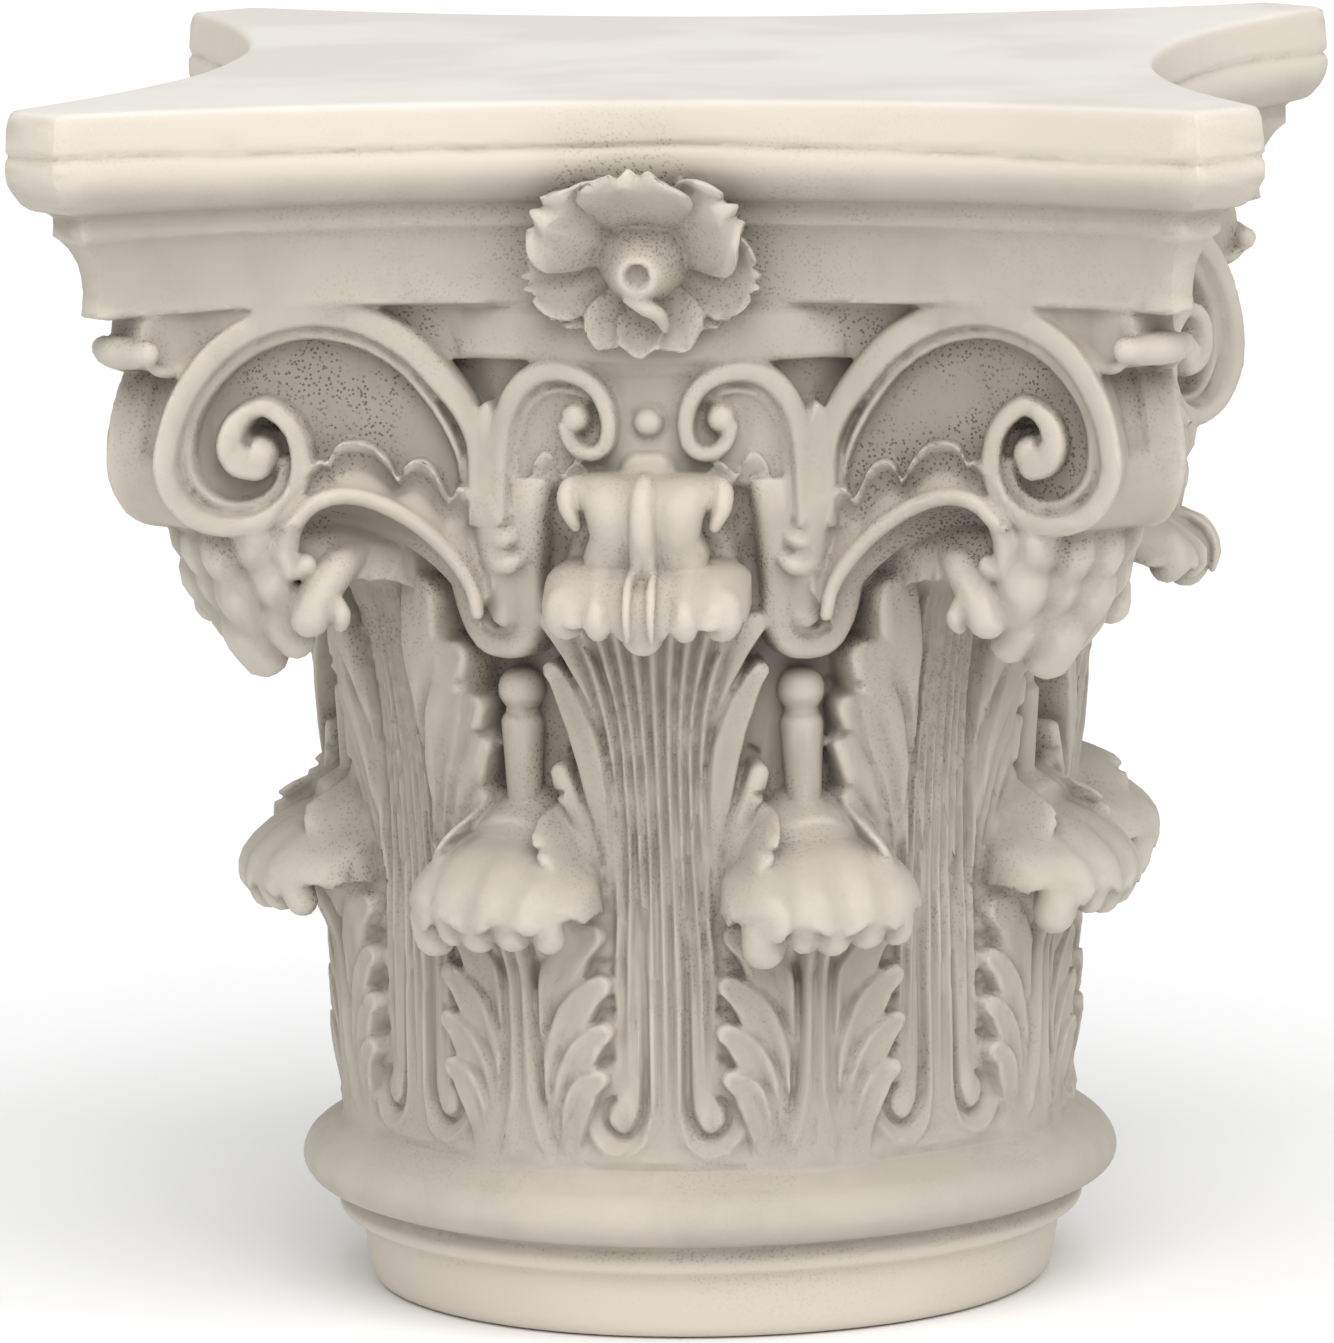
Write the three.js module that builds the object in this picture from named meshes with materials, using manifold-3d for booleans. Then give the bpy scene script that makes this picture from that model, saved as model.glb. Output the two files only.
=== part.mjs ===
// A cast Corinthian capital that stands on its own round foot: a fluted ring of eight low acanthus
// leaves, eight tall leaves between and above them, corner scrolls, small inner scrolls and a
// concave-sided slab with a flower on each side. One closed solid, in millimetres, +Z up, with its
// origin at the centre of the underside. The front side faces -Y.
import * as THREE from "three";
import { mergeVertices } from "three/addons/utils/BufferGeometryUtils.js";
import Module from "manifold-3d";

const wasm = await Module();
wasm.setup();

// Driving dimensions.
const HEIGHT = 480;
const SIDES = 4;
const SLAB_HALF = 235; // centre to the outermost line of the slab
const SLAB_CORNER = 23; // how far each corner is cut back along a side
const SLAB_HOLLOW = 52; // how deep each side curves in
const SLAB_UNDERSIDE = 402;
const LIP_RADIUS = 167;
const LEAF_BASE_Z = 70;
const VOLUTE_PLANE = 149; // distance of the volutes' curved face at mid-side
const VOLUTE_BOW = 60; // how much further out that face is at VOLUTE_SPAN
const VOLUTE_SPAN = 188;
const VOLUTE_SUNK = 12;
const HELIX_DEPTH = 14;
const FLOWER_HALF = 43;
const FLOWER_RISE = 31;
const FLOWER_Z = 419;
const FLOWER_BACK = 149;

// A scroll seen from the front. Radii of its band's outer edge about the eye are given every
// RADIUS_STEP degrees of winding, from where the band rises off the stalk.
const RADIUS_STEP = 40;
const VOLUTE = {
  eye: [146, 348], start: 194, spin: -1, band: 12, bulb: 6.5,
  radii: [85, 74, 64, 54, 47, 44, 38, 33, 27, 20, 20, 20, 14, 8],
};
const HELIX = {
  eye: [28, 360], start: -48, spin: 1, band: 8, bulb: 5,
  radii: [51, 32, 28, 21, 17, 16, 18, 19, 16, 11.5, 9, 7],
};

const FINEST_DETAIL = 1.5;
const FOOT_SEGMENTS = 32;
const BELL_SEGMENTS = 16;

const radians = THREE.MathUtils.degToRad;
const degrees = THREE.MathUtils.radToDeg;
const lerp = THREE.MathUtils.lerp;

// A point at a bearing from the front, a radius and a height.
function polar(bearing, radius, z) {
  const angle = radians(bearing);
  return new THREE.Vector3(radius * Math.sin(angle), -radius * Math.cos(angle), z);
}

// A point on the volutes' curved face, moved out from it by proud.
function onVoluteFace(x, z, proud) {
  const y = VOLUTE_PLANE + VOLUTE_BOW * (x / VOLUTE_SPAN) ** 2 + proud;
  return new THREE.Vector3(x, -y, z);
}

// A point on the bell's lip, at the arc length x from mid-side.
function onLip(x, z, proud) {
  return polar(degrees(x / LIP_RADIUS), LIP_RADIUS + proud, z);
}

// A closed skin over rings that all have the same number of points, with both ends capped.
function loft(rings) {
  const size = rings[0].length;
  const points = rings.flat();
  const index = [];
  for (let i = 0; i < rings.length - 1; i++) {
    for (let j = 0; j < size; j++) {
      const a = i * size + j;
      const b = i * size + ((j + 1) % size);
      index.push(a, b, a + size, b, b + size, a + size);
    }
  }
  for (const end of [0, rings.length - 1]) {
    const middle = points.length;
    points.push(rings[end].reduce((sum, p) => sum.add(p), new THREE.Vector3()).divideScalar(size));
    for (let j = 0; j < size; j++) {
      const a = end * size + j;
      const b = end * size + ((j + 1) % size);
      index.push(...(end === 0 ? [b, a, middle] : [a, b, middle]));
    }
  }
  const geometry = new THREE.BufferGeometry().setFromPoints(points);
  geometry.setIndex(index);
  return geometry;
}

// A closed geometry as a manifold-3d solid, turned the right way out.
function solidOf(geometry) {
  const bare = geometry.clone();
  bare.deleteAttribute("normal");
  bare.deleteAttribute("uv");
  const merged = mergeVertices(bare, 1e-4);
  const make = (triVerts) =>
    new wasm.Manifold(
      new wasm.Mesh({ numProp: 3, vertProperties: merged.attributes.position.array, triVerts }),
    );
  const faces = new Uint32Array(merged.index.array);
  const solid = make(faces);
  return solid.volume() > 0 ? solid : make(faces.slice().reverse());
}

const mirrored = (solid) => solid.mirror([1, 0, 0]);

// Copies of a solid on every side of the capital.
const onEverySide = (solid) =>
  Array.from({ length: SIDES }, (_, k) => solid.rotate([0, 0, (k * 360) / SIDES]));

// A closed solid turned about the axis from [radius, height] points.
function turnedSolid(profile, segments) {
  const lathe = new THREE.LatheGeometry(
    profile.map(([r, z]) => new THREE.Vector2(r, z)),
    segments,
  );
  return solidOf(lathe.rotateX(Math.PI / 2));
}

// The round foot with its ring mouldings.
const foot = () =>
  turnedSolid(
    [
      [0, 0], [129, 0], [134, 4], [139, 28], [146, 30], [146, 38],
      [156, 42], [161, 50], [156, 59], [147, 66], [132, 72], [0, 72],
    ],
    FOOT_SEGMENTS,
  );

// The bell behind the leaves, flaring to its lip.
const bell = () =>
  turnedSolid(
    [
      [0, 60], [130, 60], [130, 220], [140, 310], [158, 378], [LIP_RADIUS, 384], [LIP_RADIUS, 400],
      [160, 406], [0, 412],
    ],
    BELL_SEGMENTS,
  );

// The slab's outline, moved in by inset: four hollow sides and four cut corners.
function slabRing(inset, z) {
  const steps = 6;
  const half = SLAB_HALF - inset;
  const chord = SLAB_HALF - SLAB_CORNER - inset * (Math.SQRT2 - 1);
  const ring = [];
  for (let k = 0; k < SIDES; k++) {
    for (let i = 0; i <= steps; i++) {
      const across = lerp(-1, 1, i / steps);
      const point = new THREE.Vector3(chord * across, -half + SLAB_HOLLOW * (1 - across ** 2), z);
      ring.push(point.applyAxisAngle(new THREE.Vector3(0, 0, 1), (k * Math.PI) / 2));
    }
  }
  return ring;
}

function slab() {
  const profile = [
    [6, HEIGHT], [1.5, 476], [0, 459], [4.5, 447], [10, 441],
    [15, 440], [17, 431], [25, 424.5], [27, 414], [27, SLAB_UNDERSIDE],
  ];
  return solidOf(loft(profile.map(([inset, z]) => slabRing(inset, z))));
}

// One leaf, up the bell and over at the tip, with lobes along its edges and a rib up the middle.
// Each station is [inner radius, inner height, outer radius, outer height, half width]: on the
// body the first pair is the front and the second is buried in the bell, and past the fold the
// first pair is the hollow underside and the second is the hood.
function leaf(bearing, stations, { rows, lobes, lobeShare, droop }) {
  const curve = (pick) => new THREE.CatmullRomCurve3(stations.map((station) => new THREE.Vector3(...pick(station))));
  const under = curve(([r, z]) => [r, z, 0]);
  const over = curve(([, , r, z]) => [r, z, 0]);
  const halves = curve(([, , , , half]) => [half, 0, 0]);
  const across = [-1, -0.5, 0, 0.5, 1];
  const relief = [-2, 0, 2, 0, -2];
  const rings = [];
  for (let i = 0; i <= rows; i++) {
    const t = i / rows;
    const front = under.getPoint(t);
    const back = over.getPoint(t);
    const lift = front.clone().sub(back).normalize();
    const half = halves.getPoint(t).x * (1 - lobeShare * Math.abs(Math.cos(Math.PI * lobes * t)) ** 3);
    const place = (at, u, proud) => {
      const r = at.x + lift.x * proud;
      return polar(bearing + degrees((u * half) / r), r, at.y + lift.y * proud - droop * t * u * u);
    };
    rings.push([
      ...across.map((u, j) => place(front, u, relief[j])),
      ...across.toReversed().map((u, j) => place(back, 0.94 * u, -relief[j] * t)),
    ]);
  }
  return solidOf(loft(rings));
}

const lowLeaf = (bearing) =>
  leaf(
    bearing,
    [
      [140, LEAF_BASE_Z, 124, LEAF_BASE_Z, 24], [145, 96, 124, 96, 38], [144, 130, 124, 130, 37],
      [147, 154, 126, 165, 37], [158, 170, 134, 190, 37], [171, 171, 160, 195, 36],
      [180, 167, 181, 184, 33], [180, 160, 187, 171, 30], [179, 156, 185, 159, 25],
    ],
    { rows: 8, lobes: 4, lobeShare: 0.14, droop: 4 },
  );

const tallLeaf = (bearing) =>
  leaf(
    bearing,
    [
      [140, LEAF_BASE_Z, 124, LEAF_BASE_Z, 12], [144, 110, 124, 110, 17], [144, 160, 124, 160, 20],
      [146, 215, 125, 215, 33], [152, 252, 128, 268, 37], [165, 277, 140, 304, 40],
      [182, 285, 174, 310, 41], [192, 281, 195, 300, 40], [193, 274, 203, 286, 37], [192, 270, 199, 274, 32],
    ],
    { rows: 9, lobes: 4, lobeShare: 0.12, droop: 5 },
  );

const cornerLeaf = (bearing) =>
  leaf(
    bearing,
    [
      [140, LEAF_BASE_Z, 124, LEAF_BASE_Z, 12], [144, 110, 124, 110, 17], [144, 160, 124, 160, 19],
      [148, 215, 125, 215, 30], [160, 252, 128, 268, 34], [180, 278, 140, 310, 36],
      [203, 289, 186, 326, 37], [218, 284, 226, 320, 36], [224, 274, 238, 298, 33], [222, 267, 230, 274, 28],
    ],
    { rows: 9, lobes: 4, lobeShare: 0.12, droop: 5 },
  );

// The turned-over upper tip that lies on a leaf's hood: stations of [radius, height, half width].
function upperCurl(bearing, stations, depth) {
  const across = [-1, -0.55, 0, 0.55, 1];
  const relief = [-4, 1.5, 0, 1.5, -4];
  const rings = stations.map(([r, z, half]) => {
    const turn = (u) => bearing + degrees((u * half) / r);
    return [
      ...across.map((u, j) => polar(turn(u), r + relief[j], z)),
      ...[0.9, -0.9].map((u) => polar(turn(u), r - depth, z - 2)),
    ];
  });
  return solidOf(loft(rings));
}

// A flat plate bent onto a curved surface: the x and z of the outline stay, and the plate's
// thickness runs from front to back along the surface's own depth.
function bentPlate(outline, surface, front, back) {
  const shape = new THREE.Shape(outline.map(([x, z]) => new THREE.Vector2(x, z)));
  const plate = new THREE.ExtrudeGeometry(shape, { depth: back - front, bevelEnabled: false });
  const position = plate.attributes.position;
  for (let i = 0; i < position.count; i++) {
    const depth = front + position.getZ(i);
    const point = surface(position.getX(i), position.getY(i), -depth);
    position.setXYZ(i, point.x, point.y, point.z);
  }
  return solidOf(plate);
}

// The outer outline of a scroll and the outline of the channel sunk between its turns.
function scrollLines({ eye, start, spin, radii, band, bulb }) {
  const radiusAt = (wound) => {
    const k = THREE.MathUtils.clamp(wound / RADIUS_STEP, 0, radii.length - 1.001);
    return lerp(radii[Math.floor(k)], radii[Math.floor(k) + 1], k % 1);
  };
  const point = (wound, r) => {
    const angle = radians(start + spin * wound);
    return [eye[0] + r * Math.cos(angle), eye[1] + r * Math.sin(angle)];
  };
  const turns = (to) => Array.from({ length: to / RADIUS_STEP + 1 }, (_, i) => i * RADIUS_STEP);
  const inward = (wound) => Math.max(radiusAt(wound) - band * (1 - wound / 1100), bulb + 2.5);
  const nextTurn = (wound) =>
    wound + 360 < RADIUS_STEP * (radii.length - 1) ? Math.max(radiusAt(wound + 360), bulb) : bulb;
  return {
    outline: turns(320).map((wound) => point(wound, radiusAt(wound))),
    channel: [
      ...turns(440).map((wound) => point(wound, inward(wound))),
      ...turns(440).toReversed().map((wound) => point(wound, nextTurn(wound))),
    ],
  };
}

// The block behind one corner's two volutes, from the face of one to the mirror-image face of the
// other, with the channel sunk into both.
function cornerScroll() {
  const { outline, channel } = scrollLines(VOLUTE);
  const otherFace = ({ x, y, z }) => new THREE.Vector3(-y, -x, z);
  const shrunk = ([x, z]) => [lerp(VOLUTE.eye[0], x, 0.5), lerp(VOLUTE.eye[1], z, 0.5)];
  const ring = (points) => points.map(([x, z]) => onVoluteFace(x, z, 0));
  const front = [ring(outline.map(shrunk)), ring(outline)];
  const block = solidOf(loft([...front, ...front.toReversed().map((points) => points.map(otherFace))]));
  const sunk = bentPlate(channel, onVoluteFace, -8, VOLUTE_SUNK);
  return block.subtract(sunk).subtract(mirrored(sunk).rotate([0, 0, 90]));
}

// The small scroll that meets its mirror image at mid-side.
function helix() {
  const { outline, channel } = scrollLines(HELIX);
  return bentPlate(outline, onLip, 0, HELIX_DEPTH).subtract(bentPlate(channel, onLip, -6, 4));
}

// One sheath of the cup that the scrolls grow from: stations of [bearing, radius, height, half width].
function sheath(stations, depth) {
  const rings = stations.map(([bearing, r, z, half], i) => {
    const [fromBearing, , fromZ] = stations[Math.max(i - 1, 0)];
    const [toBearing, , toZ] = stations[Math.min(i + 1, stations.length - 1)];
    const run = new THREE.Vector2(radians(toBearing - fromBearing) * r, toZ - fromZ).normalize();
    const side = (s, lift) => polar(bearing - degrees((s * half * run.y) / r), r + lift, z + s * half * run.x);
    return [side(1, 0), side(-1, 0), side(-1, -depth), side(1, -depth)];
  });
  return solidOf(loft(rings));
}

// The cup: one sheath arches to the corner under the volute and one leans to the small scroll.
function cup() {
  const outward = sheath(
    [[22.5, 152, 266, 5], [25, 154, 282, 12], [29, 161, 303, 14], [35, 181, 319, 11], [43, 214, 321, 7]],
    22,
  );
  const inward = sheath([[22.5, 152, 266, 5], [19.5, 153, 286, 11], [14, 159, 314, 11], [6, 165, 334, 6]], 18);
  return outward.add(inward);
}

// The tapered stalk with a ball on it, below each cup.
function stalk() {
  const profile = [[0, 195], [5.5, 195], [8, 239], [9.5, 246], [9.5, 254], [5, 260], [0, 260]];
  const lathe = new THREE.LatheGeometry(profile.map(([r, z]) => new THREE.Vector2(r, z)), 6);
  return solidOf(lathe.rotateX(Math.PI / 2).translate(0, -136, 0)).rotate([0, 0, 22.5]);
}

// The small roll that carries each corner of the slab.
function cornerRoll() {
  const roll = new THREE.CylinderGeometry(7, 7, 34, 8).rotateZ(Math.PI / 2).translate(0, -280, 386);
  const neck = new THREE.BoxGeometry(26, 40, 16).translate(0, -262, 394);
  return solidOf(roll).add(solidOf(neck)).rotate([0, 0, 45]);
}

// The flower at mid-side: a cup of petals around a raised snail.
function flower() {
  const petals = 5;
  const around = 4 * petals;
  const ring = (share, y) =>
    Array.from({ length: around }, (_, i) => {
      const angle = ((i + 0.5) / around + 0.25) * 2 * Math.PI;
      const between = Math.abs(Math.sin((petals * (angle - Math.PI / 2)) / 2)) ** 3;
      const notch = share > 0.4 ? 1 - 0.3 * between : 1;
      return new THREE.Vector3(
        FLOWER_HALF * share * notch * Math.cos(angle),
        -FLOWER_BACK - y,
        FLOWER_Z + FLOWER_RISE * share * notch * Math.sin(angle),
      );
    });
  return solidOf(loft([ring(1, 0), ring(1, 30), ring(0.5, 26), ring(0.27, 31), ring(0.2, 42)]));
}

// Everything joined into one solid.
function capital() {
  const sidePieces = [
    lowLeaf(22.5), lowLeaf(-22.5), tallLeaf(0), cornerLeaf(45),
    upperCurl(0, [[172, 341, 24], [182, 337, 27], [186, 326, 24], [187, 312, 21], [183, 303, 20]], 24),
    upperCurl(45, [[214, 326, 26], [232, 322, 31], [240, 311, 32], [239, 299, 29], [232, 292, 26]], 26),
    cornerScroll(), helix(), mirrored(helix()),
    cup(), mirrored(cup()), stalk(), mirrored(stalk()), cornerRoll(), flower(),
    bentPlate([[-14, 344], [14, 344], [14, 372], [-14, 372]], onLip, 1, HELIX_DEPTH),
    solidOf(new THREE.SphereGeometry(5.5, 6, 4).translate(0, -LIP_RADIUS, 358)),
    solidOf(new THREE.SphereGeometry(10, 6, 4).translate(0, -LIP_RADIUS, 342)),
  ];
  const joined = wasm.Manifold.union([foot(), bell(), slab(), ...sidePieces.flatMap(onEverySide)]);
  // Pockets closed in between the joined pieces are left out, so the casting is solid inside.
  const skins = joined.asOriginal().simplify(FINEST_DETAIL).decompose();
  return skins.reduce((largest, skin) => (skin.volume() > largest.volume() ? skin : largest));
}

function meshOf(name, solid, material) {
  const { vertProperties, triVerts } = solid.getMesh();
  const geometry = new THREE.BufferGeometry();
  geometry.setAttribute("position", new THREE.BufferAttribute(vertProperties, 3));
  geometry.setIndex(new THREE.BufferAttribute(triVerts, 1));
  geometry.computeVertexNormals();
  const mesh = new THREE.Mesh(geometry, material);
  mesh.name = name;
  return mesh;
}

const castStone = new THREE.MeshStandardMaterial({ color: 0xcdc4b4, roughness: 0.62, metalness: 0 });

const group = new THREE.Group();
group.add(meshOf("capital", capital(), castStone));

export default group;
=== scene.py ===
# A cast Corinthian capital on its own round foot. Lengths in the modelling code are millimetres,
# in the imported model's frame: +Z up, the front side towards -Y, the foot's underside at z = 0.
import math
import bpy
import numpy as np
from mathutils import Matrix, Vector


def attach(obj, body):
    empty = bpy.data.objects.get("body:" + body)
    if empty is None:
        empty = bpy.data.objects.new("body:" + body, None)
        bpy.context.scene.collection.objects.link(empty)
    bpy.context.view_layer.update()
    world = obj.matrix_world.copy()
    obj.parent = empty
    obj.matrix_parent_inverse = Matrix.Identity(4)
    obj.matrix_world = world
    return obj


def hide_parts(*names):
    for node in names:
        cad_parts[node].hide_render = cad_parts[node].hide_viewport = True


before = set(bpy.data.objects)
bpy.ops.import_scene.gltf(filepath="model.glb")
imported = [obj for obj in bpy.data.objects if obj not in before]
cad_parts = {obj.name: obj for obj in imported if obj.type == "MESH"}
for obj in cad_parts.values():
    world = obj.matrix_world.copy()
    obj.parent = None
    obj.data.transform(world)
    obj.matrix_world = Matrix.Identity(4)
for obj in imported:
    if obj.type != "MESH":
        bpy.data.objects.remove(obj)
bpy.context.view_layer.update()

MM = 0.001
SIDES = 4
EVERY_SIDE = [k * 360 / SIDES for k in range(SIDES)]
EVERY_CORNER = [45 + bearing for bearing in EVERY_SIDE]
EVERY_LOW_LEAF = [22.5 + k * 45 for k in range(2 * SIDES)]

SLAB_HALF = 234.0
SLAB_CORNER = 23.0
SLAB_HOLLOW = 52.0
SLAB_TOP = 479.8
SEAM_HEIGHT = 461.5
LIP_RADIUS = 167.0
BODY_RADIUS = 145.0

# The two volutes of a side share a curved face: FACE_OUT from the axis at mid-side,
# and FACE_BOW further out at FACE_REACH along the side.
FACE_OUT = 149.0
FACE_BOW = 59.0
FACE_REACH = 188.0

FLOWER_OUT = 151.0
FLOWER_HEIGHT = 419.0
STALK_OUT = 139.0

FINEST_VOXEL = 1.0
MOST_TRIANGLES = 196000


# ---------------------------------------------------------------- curves and small sums

def smooth_path(points, count=0, closed=False, step=1.2):
    """A smooth curve through the points, evenly spaced along its length."""
    points = np.array(points, float)
    if closed:
        padded = np.concatenate([points[-1:], points, points[:2]])
    else:
        before = 2 * points[:1] - points[1:2]
        after = 2 * points[-1:] - points[-2:-1]
        padded = np.concatenate([before, points, after])
    t = np.linspace(0, 1, 12, endpoint=False)[:, None]
    pieces = []
    for a, b, c, d in zip(padded, padded[1:], padded[2:], padded[3:]):
        squared = (2 * a - 5 * b + 4 * c - d) * t**2
        cubed = (3 * b - a - 3 * c + d) * t**3
        pieces.append(0.5 * (2 * b + (c - a) * t + squared + cubed))
    dense = np.concatenate(pieces + [padded[-2:-1]])
    space = min(dense.shape[1], 3)
    steps = np.linalg.norm(np.diff(dense[:, :space], axis=0), axis=1)
    gone = np.concatenate([[0], np.cumsum(steps)])
    count = count or max(int(gone[-1] / step), 3)
    stops = np.linspace(0, gone[-1], count)
    return np.stack([np.interp(stops, gone, dense[:, k]) for k in range(dense.shape[1])], axis=1)


def part_way(values, share):
    """Values given at even steps along something, read off at each share of the way along it."""
    values = np.atleast_1d(np.array(values, float))
    if len(values) == 1:
        return np.full(np.shape(share), values[0])
    return np.interp(share, np.linspace(0, 1, len(values)), values)


def spread(values, count):
    """Values given at even steps, filled in to count of them."""
    return part_way(values, np.linspace(0, 1, count))


def read_off(x, pairs):
    """The value at x on the line through (place, value) pairs."""
    places, values = zip(*pairs)
    return np.interp(x, places, values)


def ramp(x, low, high):
    """0 below low, 1 above high, and smooth between."""
    t = np.clip((x - low) / (high - low), 0, 1)
    return t * t * (3 - 2 * t)


def bump(x, middle, half):
    """1 at the middle, falling smoothly to 0 at half away from it."""
    return np.clip(1 - ((x - middle) / half) ** 2, 0, 1) ** 2


def polar(bearing, radius, z):
    """A place at a bearing in degrees from the front, a radius and a height."""
    angle = np.radians(bearing)
    radius, z, angle = np.broadcast_arrays(radius, z, angle)
    return np.stack([radius * np.sin(angle), -radius * np.cos(angle), z], axis=-1)


def on_volute_face(x, z, proud=0.0):
    """A place on the curved face that a side's two volutes share."""
    x, z, proud = np.broadcast_arrays(x, z, proud)
    return np.stack([x, -(FACE_OUT + FACE_BOW * (x / FACE_REACH) ** 2 + proud), z], axis=-1)


def on_lip(x, z, proud=0.0):
    """A place on the bell's lip, x millimetres along it from mid-side."""
    bearing = np.degrees(np.asarray(x, float) / LIP_RADIUS)
    return polar(bearing, LIP_RADIUS + np.asarray(proud, float), z)


def turned(profile, around, out=0.0):
    """Rings turned about an upright line that stands out from the axis, from (radius, height) pairs."""
    angle = np.linspace(0, 2 * np.pi, around, endpoint=False)
    rings = []
    for radius, z in profile:
        ring = [radius * np.cos(angle), -out + radius * np.sin(angle), np.full(around, z)]
        rings.append(np.stack(ring, axis=1))
    return np.array(rings)


# ---------------------------------------------------------------- relief

class Relief:
    """Heights over places on a flat map, worked stroke by stroke like carving.

    across and up are the map's two coordinates; scale turns across into millimetres.
    """

    LOBE_REACH = 1.4
    FURROW_MIDDLE = 1.1
    FURROW_HALF = 0.24

    def __init__(self, across, up, height, scale=1.0):
        self.shape = across.shape
        self.scale = scale
        self.places = np.stack([across.ravel() * scale, up.ravel()], axis=1)
        self.height = np.broadcast_to(height, across.shape).astype(float).ravel().copy()

    def boxed(self, path, reach=0.0):
        """The places in the box round a path, widened by reach."""
        low = path.min(0) - reach
        high = path.max(0) + reach
        return np.where(((self.places > low) & (self.places < high)).all(1))[0]

    def near(self, path, reach):
        """The places round a path, how far from it they are and how far along it."""
        inside = self.boxed(path, reach)
        spots = self.places[inside]
        best = np.full(len(inside), 1e9)
        along = np.zeros(len(inside))
        for k, (a, b) in enumerate(zip(path, path[1:])):
            run = b - a
            t = np.clip(((spots - a) @ run) / max(run @ run, 1e-9), 0, 1)
            apart = ((spots - a - t[:, None] * run) ** 2).sum(1)
            closer = apart < best
            best[closer] = apart[closer]
            along[closer] = (k + t[closer]) / (len(path) - 1)
        return inside, np.sqrt(best), along

    def stroke(self, points, half_width):
        """The places under a stroke, how far out in it they are, 1 at its edge, and how far along."""
        path = smooth_path(np.array(points, float) * [self.scale, 1], step=1.5)
        inside, apart, along = self.near(path, np.max(half_width))
        half = part_way(half_width, along)
        keep = apart < half
        return inside[keep], (apart / np.maximum(half, 1e-6))[keep], along[keep]

    def pad(self, points, half_width, top, drop=4.0, power=4.0):
        """A raised finger whose top is at an absolute height and whose edges round down by drop."""
        inside, x, along = self.stroke(points, half_width)
        shape = np.clip(1 - x**power, 0, 1) ** 0.5
        made = part_way(top, along) - drop * (1 - shape)
        self.height[inside] = np.maximum(self.height[inside], made)

    def lobe(self, points, half_width, top, drop=5.0, moat=2.6, scoop=0.0):
        """A leaf's lobe that lies over what is there, with a furrow round it and a scooped middle."""
        inside, x, along = self.stroke(points, np.array(half_width, float) * self.LOBE_REACH)
        x = x * self.LOBE_REACH
        self.height[inside] -= moat * bump(x, self.FURROW_MIDDLE, self.FURROW_HALF)
        core = x < 1
        inside, x, along = inside[core], x[core], along[core]
        shape = np.sqrt(1 - x**5)
        hollow = scoop * np.clip(1 - (x / 0.8) ** 2, 0, 1)
        made = part_way(top, along) - drop * (1 - shape) - hollow
        self.height[inside] = np.maximum(self.height[inside] - moat, made)

    def add(self, points, half_width, amount, power=2.0):
        """A rounded ridge added to the surface, or a groove where amount is negative."""
        inside, x, along = self.stroke(points, half_width)
        self.height[inside] += part_way(amount, along) * np.clip(1 - x**power, 0, 1) ** 2

    def raise_by(self, points, half_width, amount):
        """Leans the surface out along a path, fading to nothing at half_width."""
        inside, x, along = self.stroke(points, half_width)
        self.height[inside] += part_way(amount, along) * (1 - ramp(x, 0.7, 1))

    def fill(self, outline, top, bevel=3.0, drop=4.0, cut=False):
        """A plateau inside an outline, with rounded edges. With cut, a hollow instead."""
        path = smooth_path(np.array(outline, float) * [self.scale, 1], closed=True, step=2.0)
        inside = self.boxed(path)
        x, y = self.places[inside].T
        crossings = np.zeros(len(inside), int)
        for (ax, ay), (bx, by) in zip(path, path[1:]):
            if ay != by:
                level = (y >= min(ay, by)) & (y < max(ay, by))
                crossings += level & (x < ax + (y - ay) * (bx - ax) / (by - ay))
        inside = inside[crossings % 2 == 1]
        by_the_edge, apart, _ = self.near(path, bevel)
        edge = np.full(len(self.height), bevel)
        edge[by_the_edge] = np.minimum(apart, bevel)
        shape = np.sqrt(np.clip(1 - (1 - edge[inside] / bevel) ** 2, 0, 1))
        if cut:
            self.height[inside] = np.minimum(self.height[inside], top + drop * (1 - shape))
        else:
            self.height[inside] = np.maximum(self.height[inside], top - drop * (1 - shape))

    @property
    def grid(self):
        return self.height.reshape(self.shape)


# ---------------------------------------------------------------- closed skins

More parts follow.
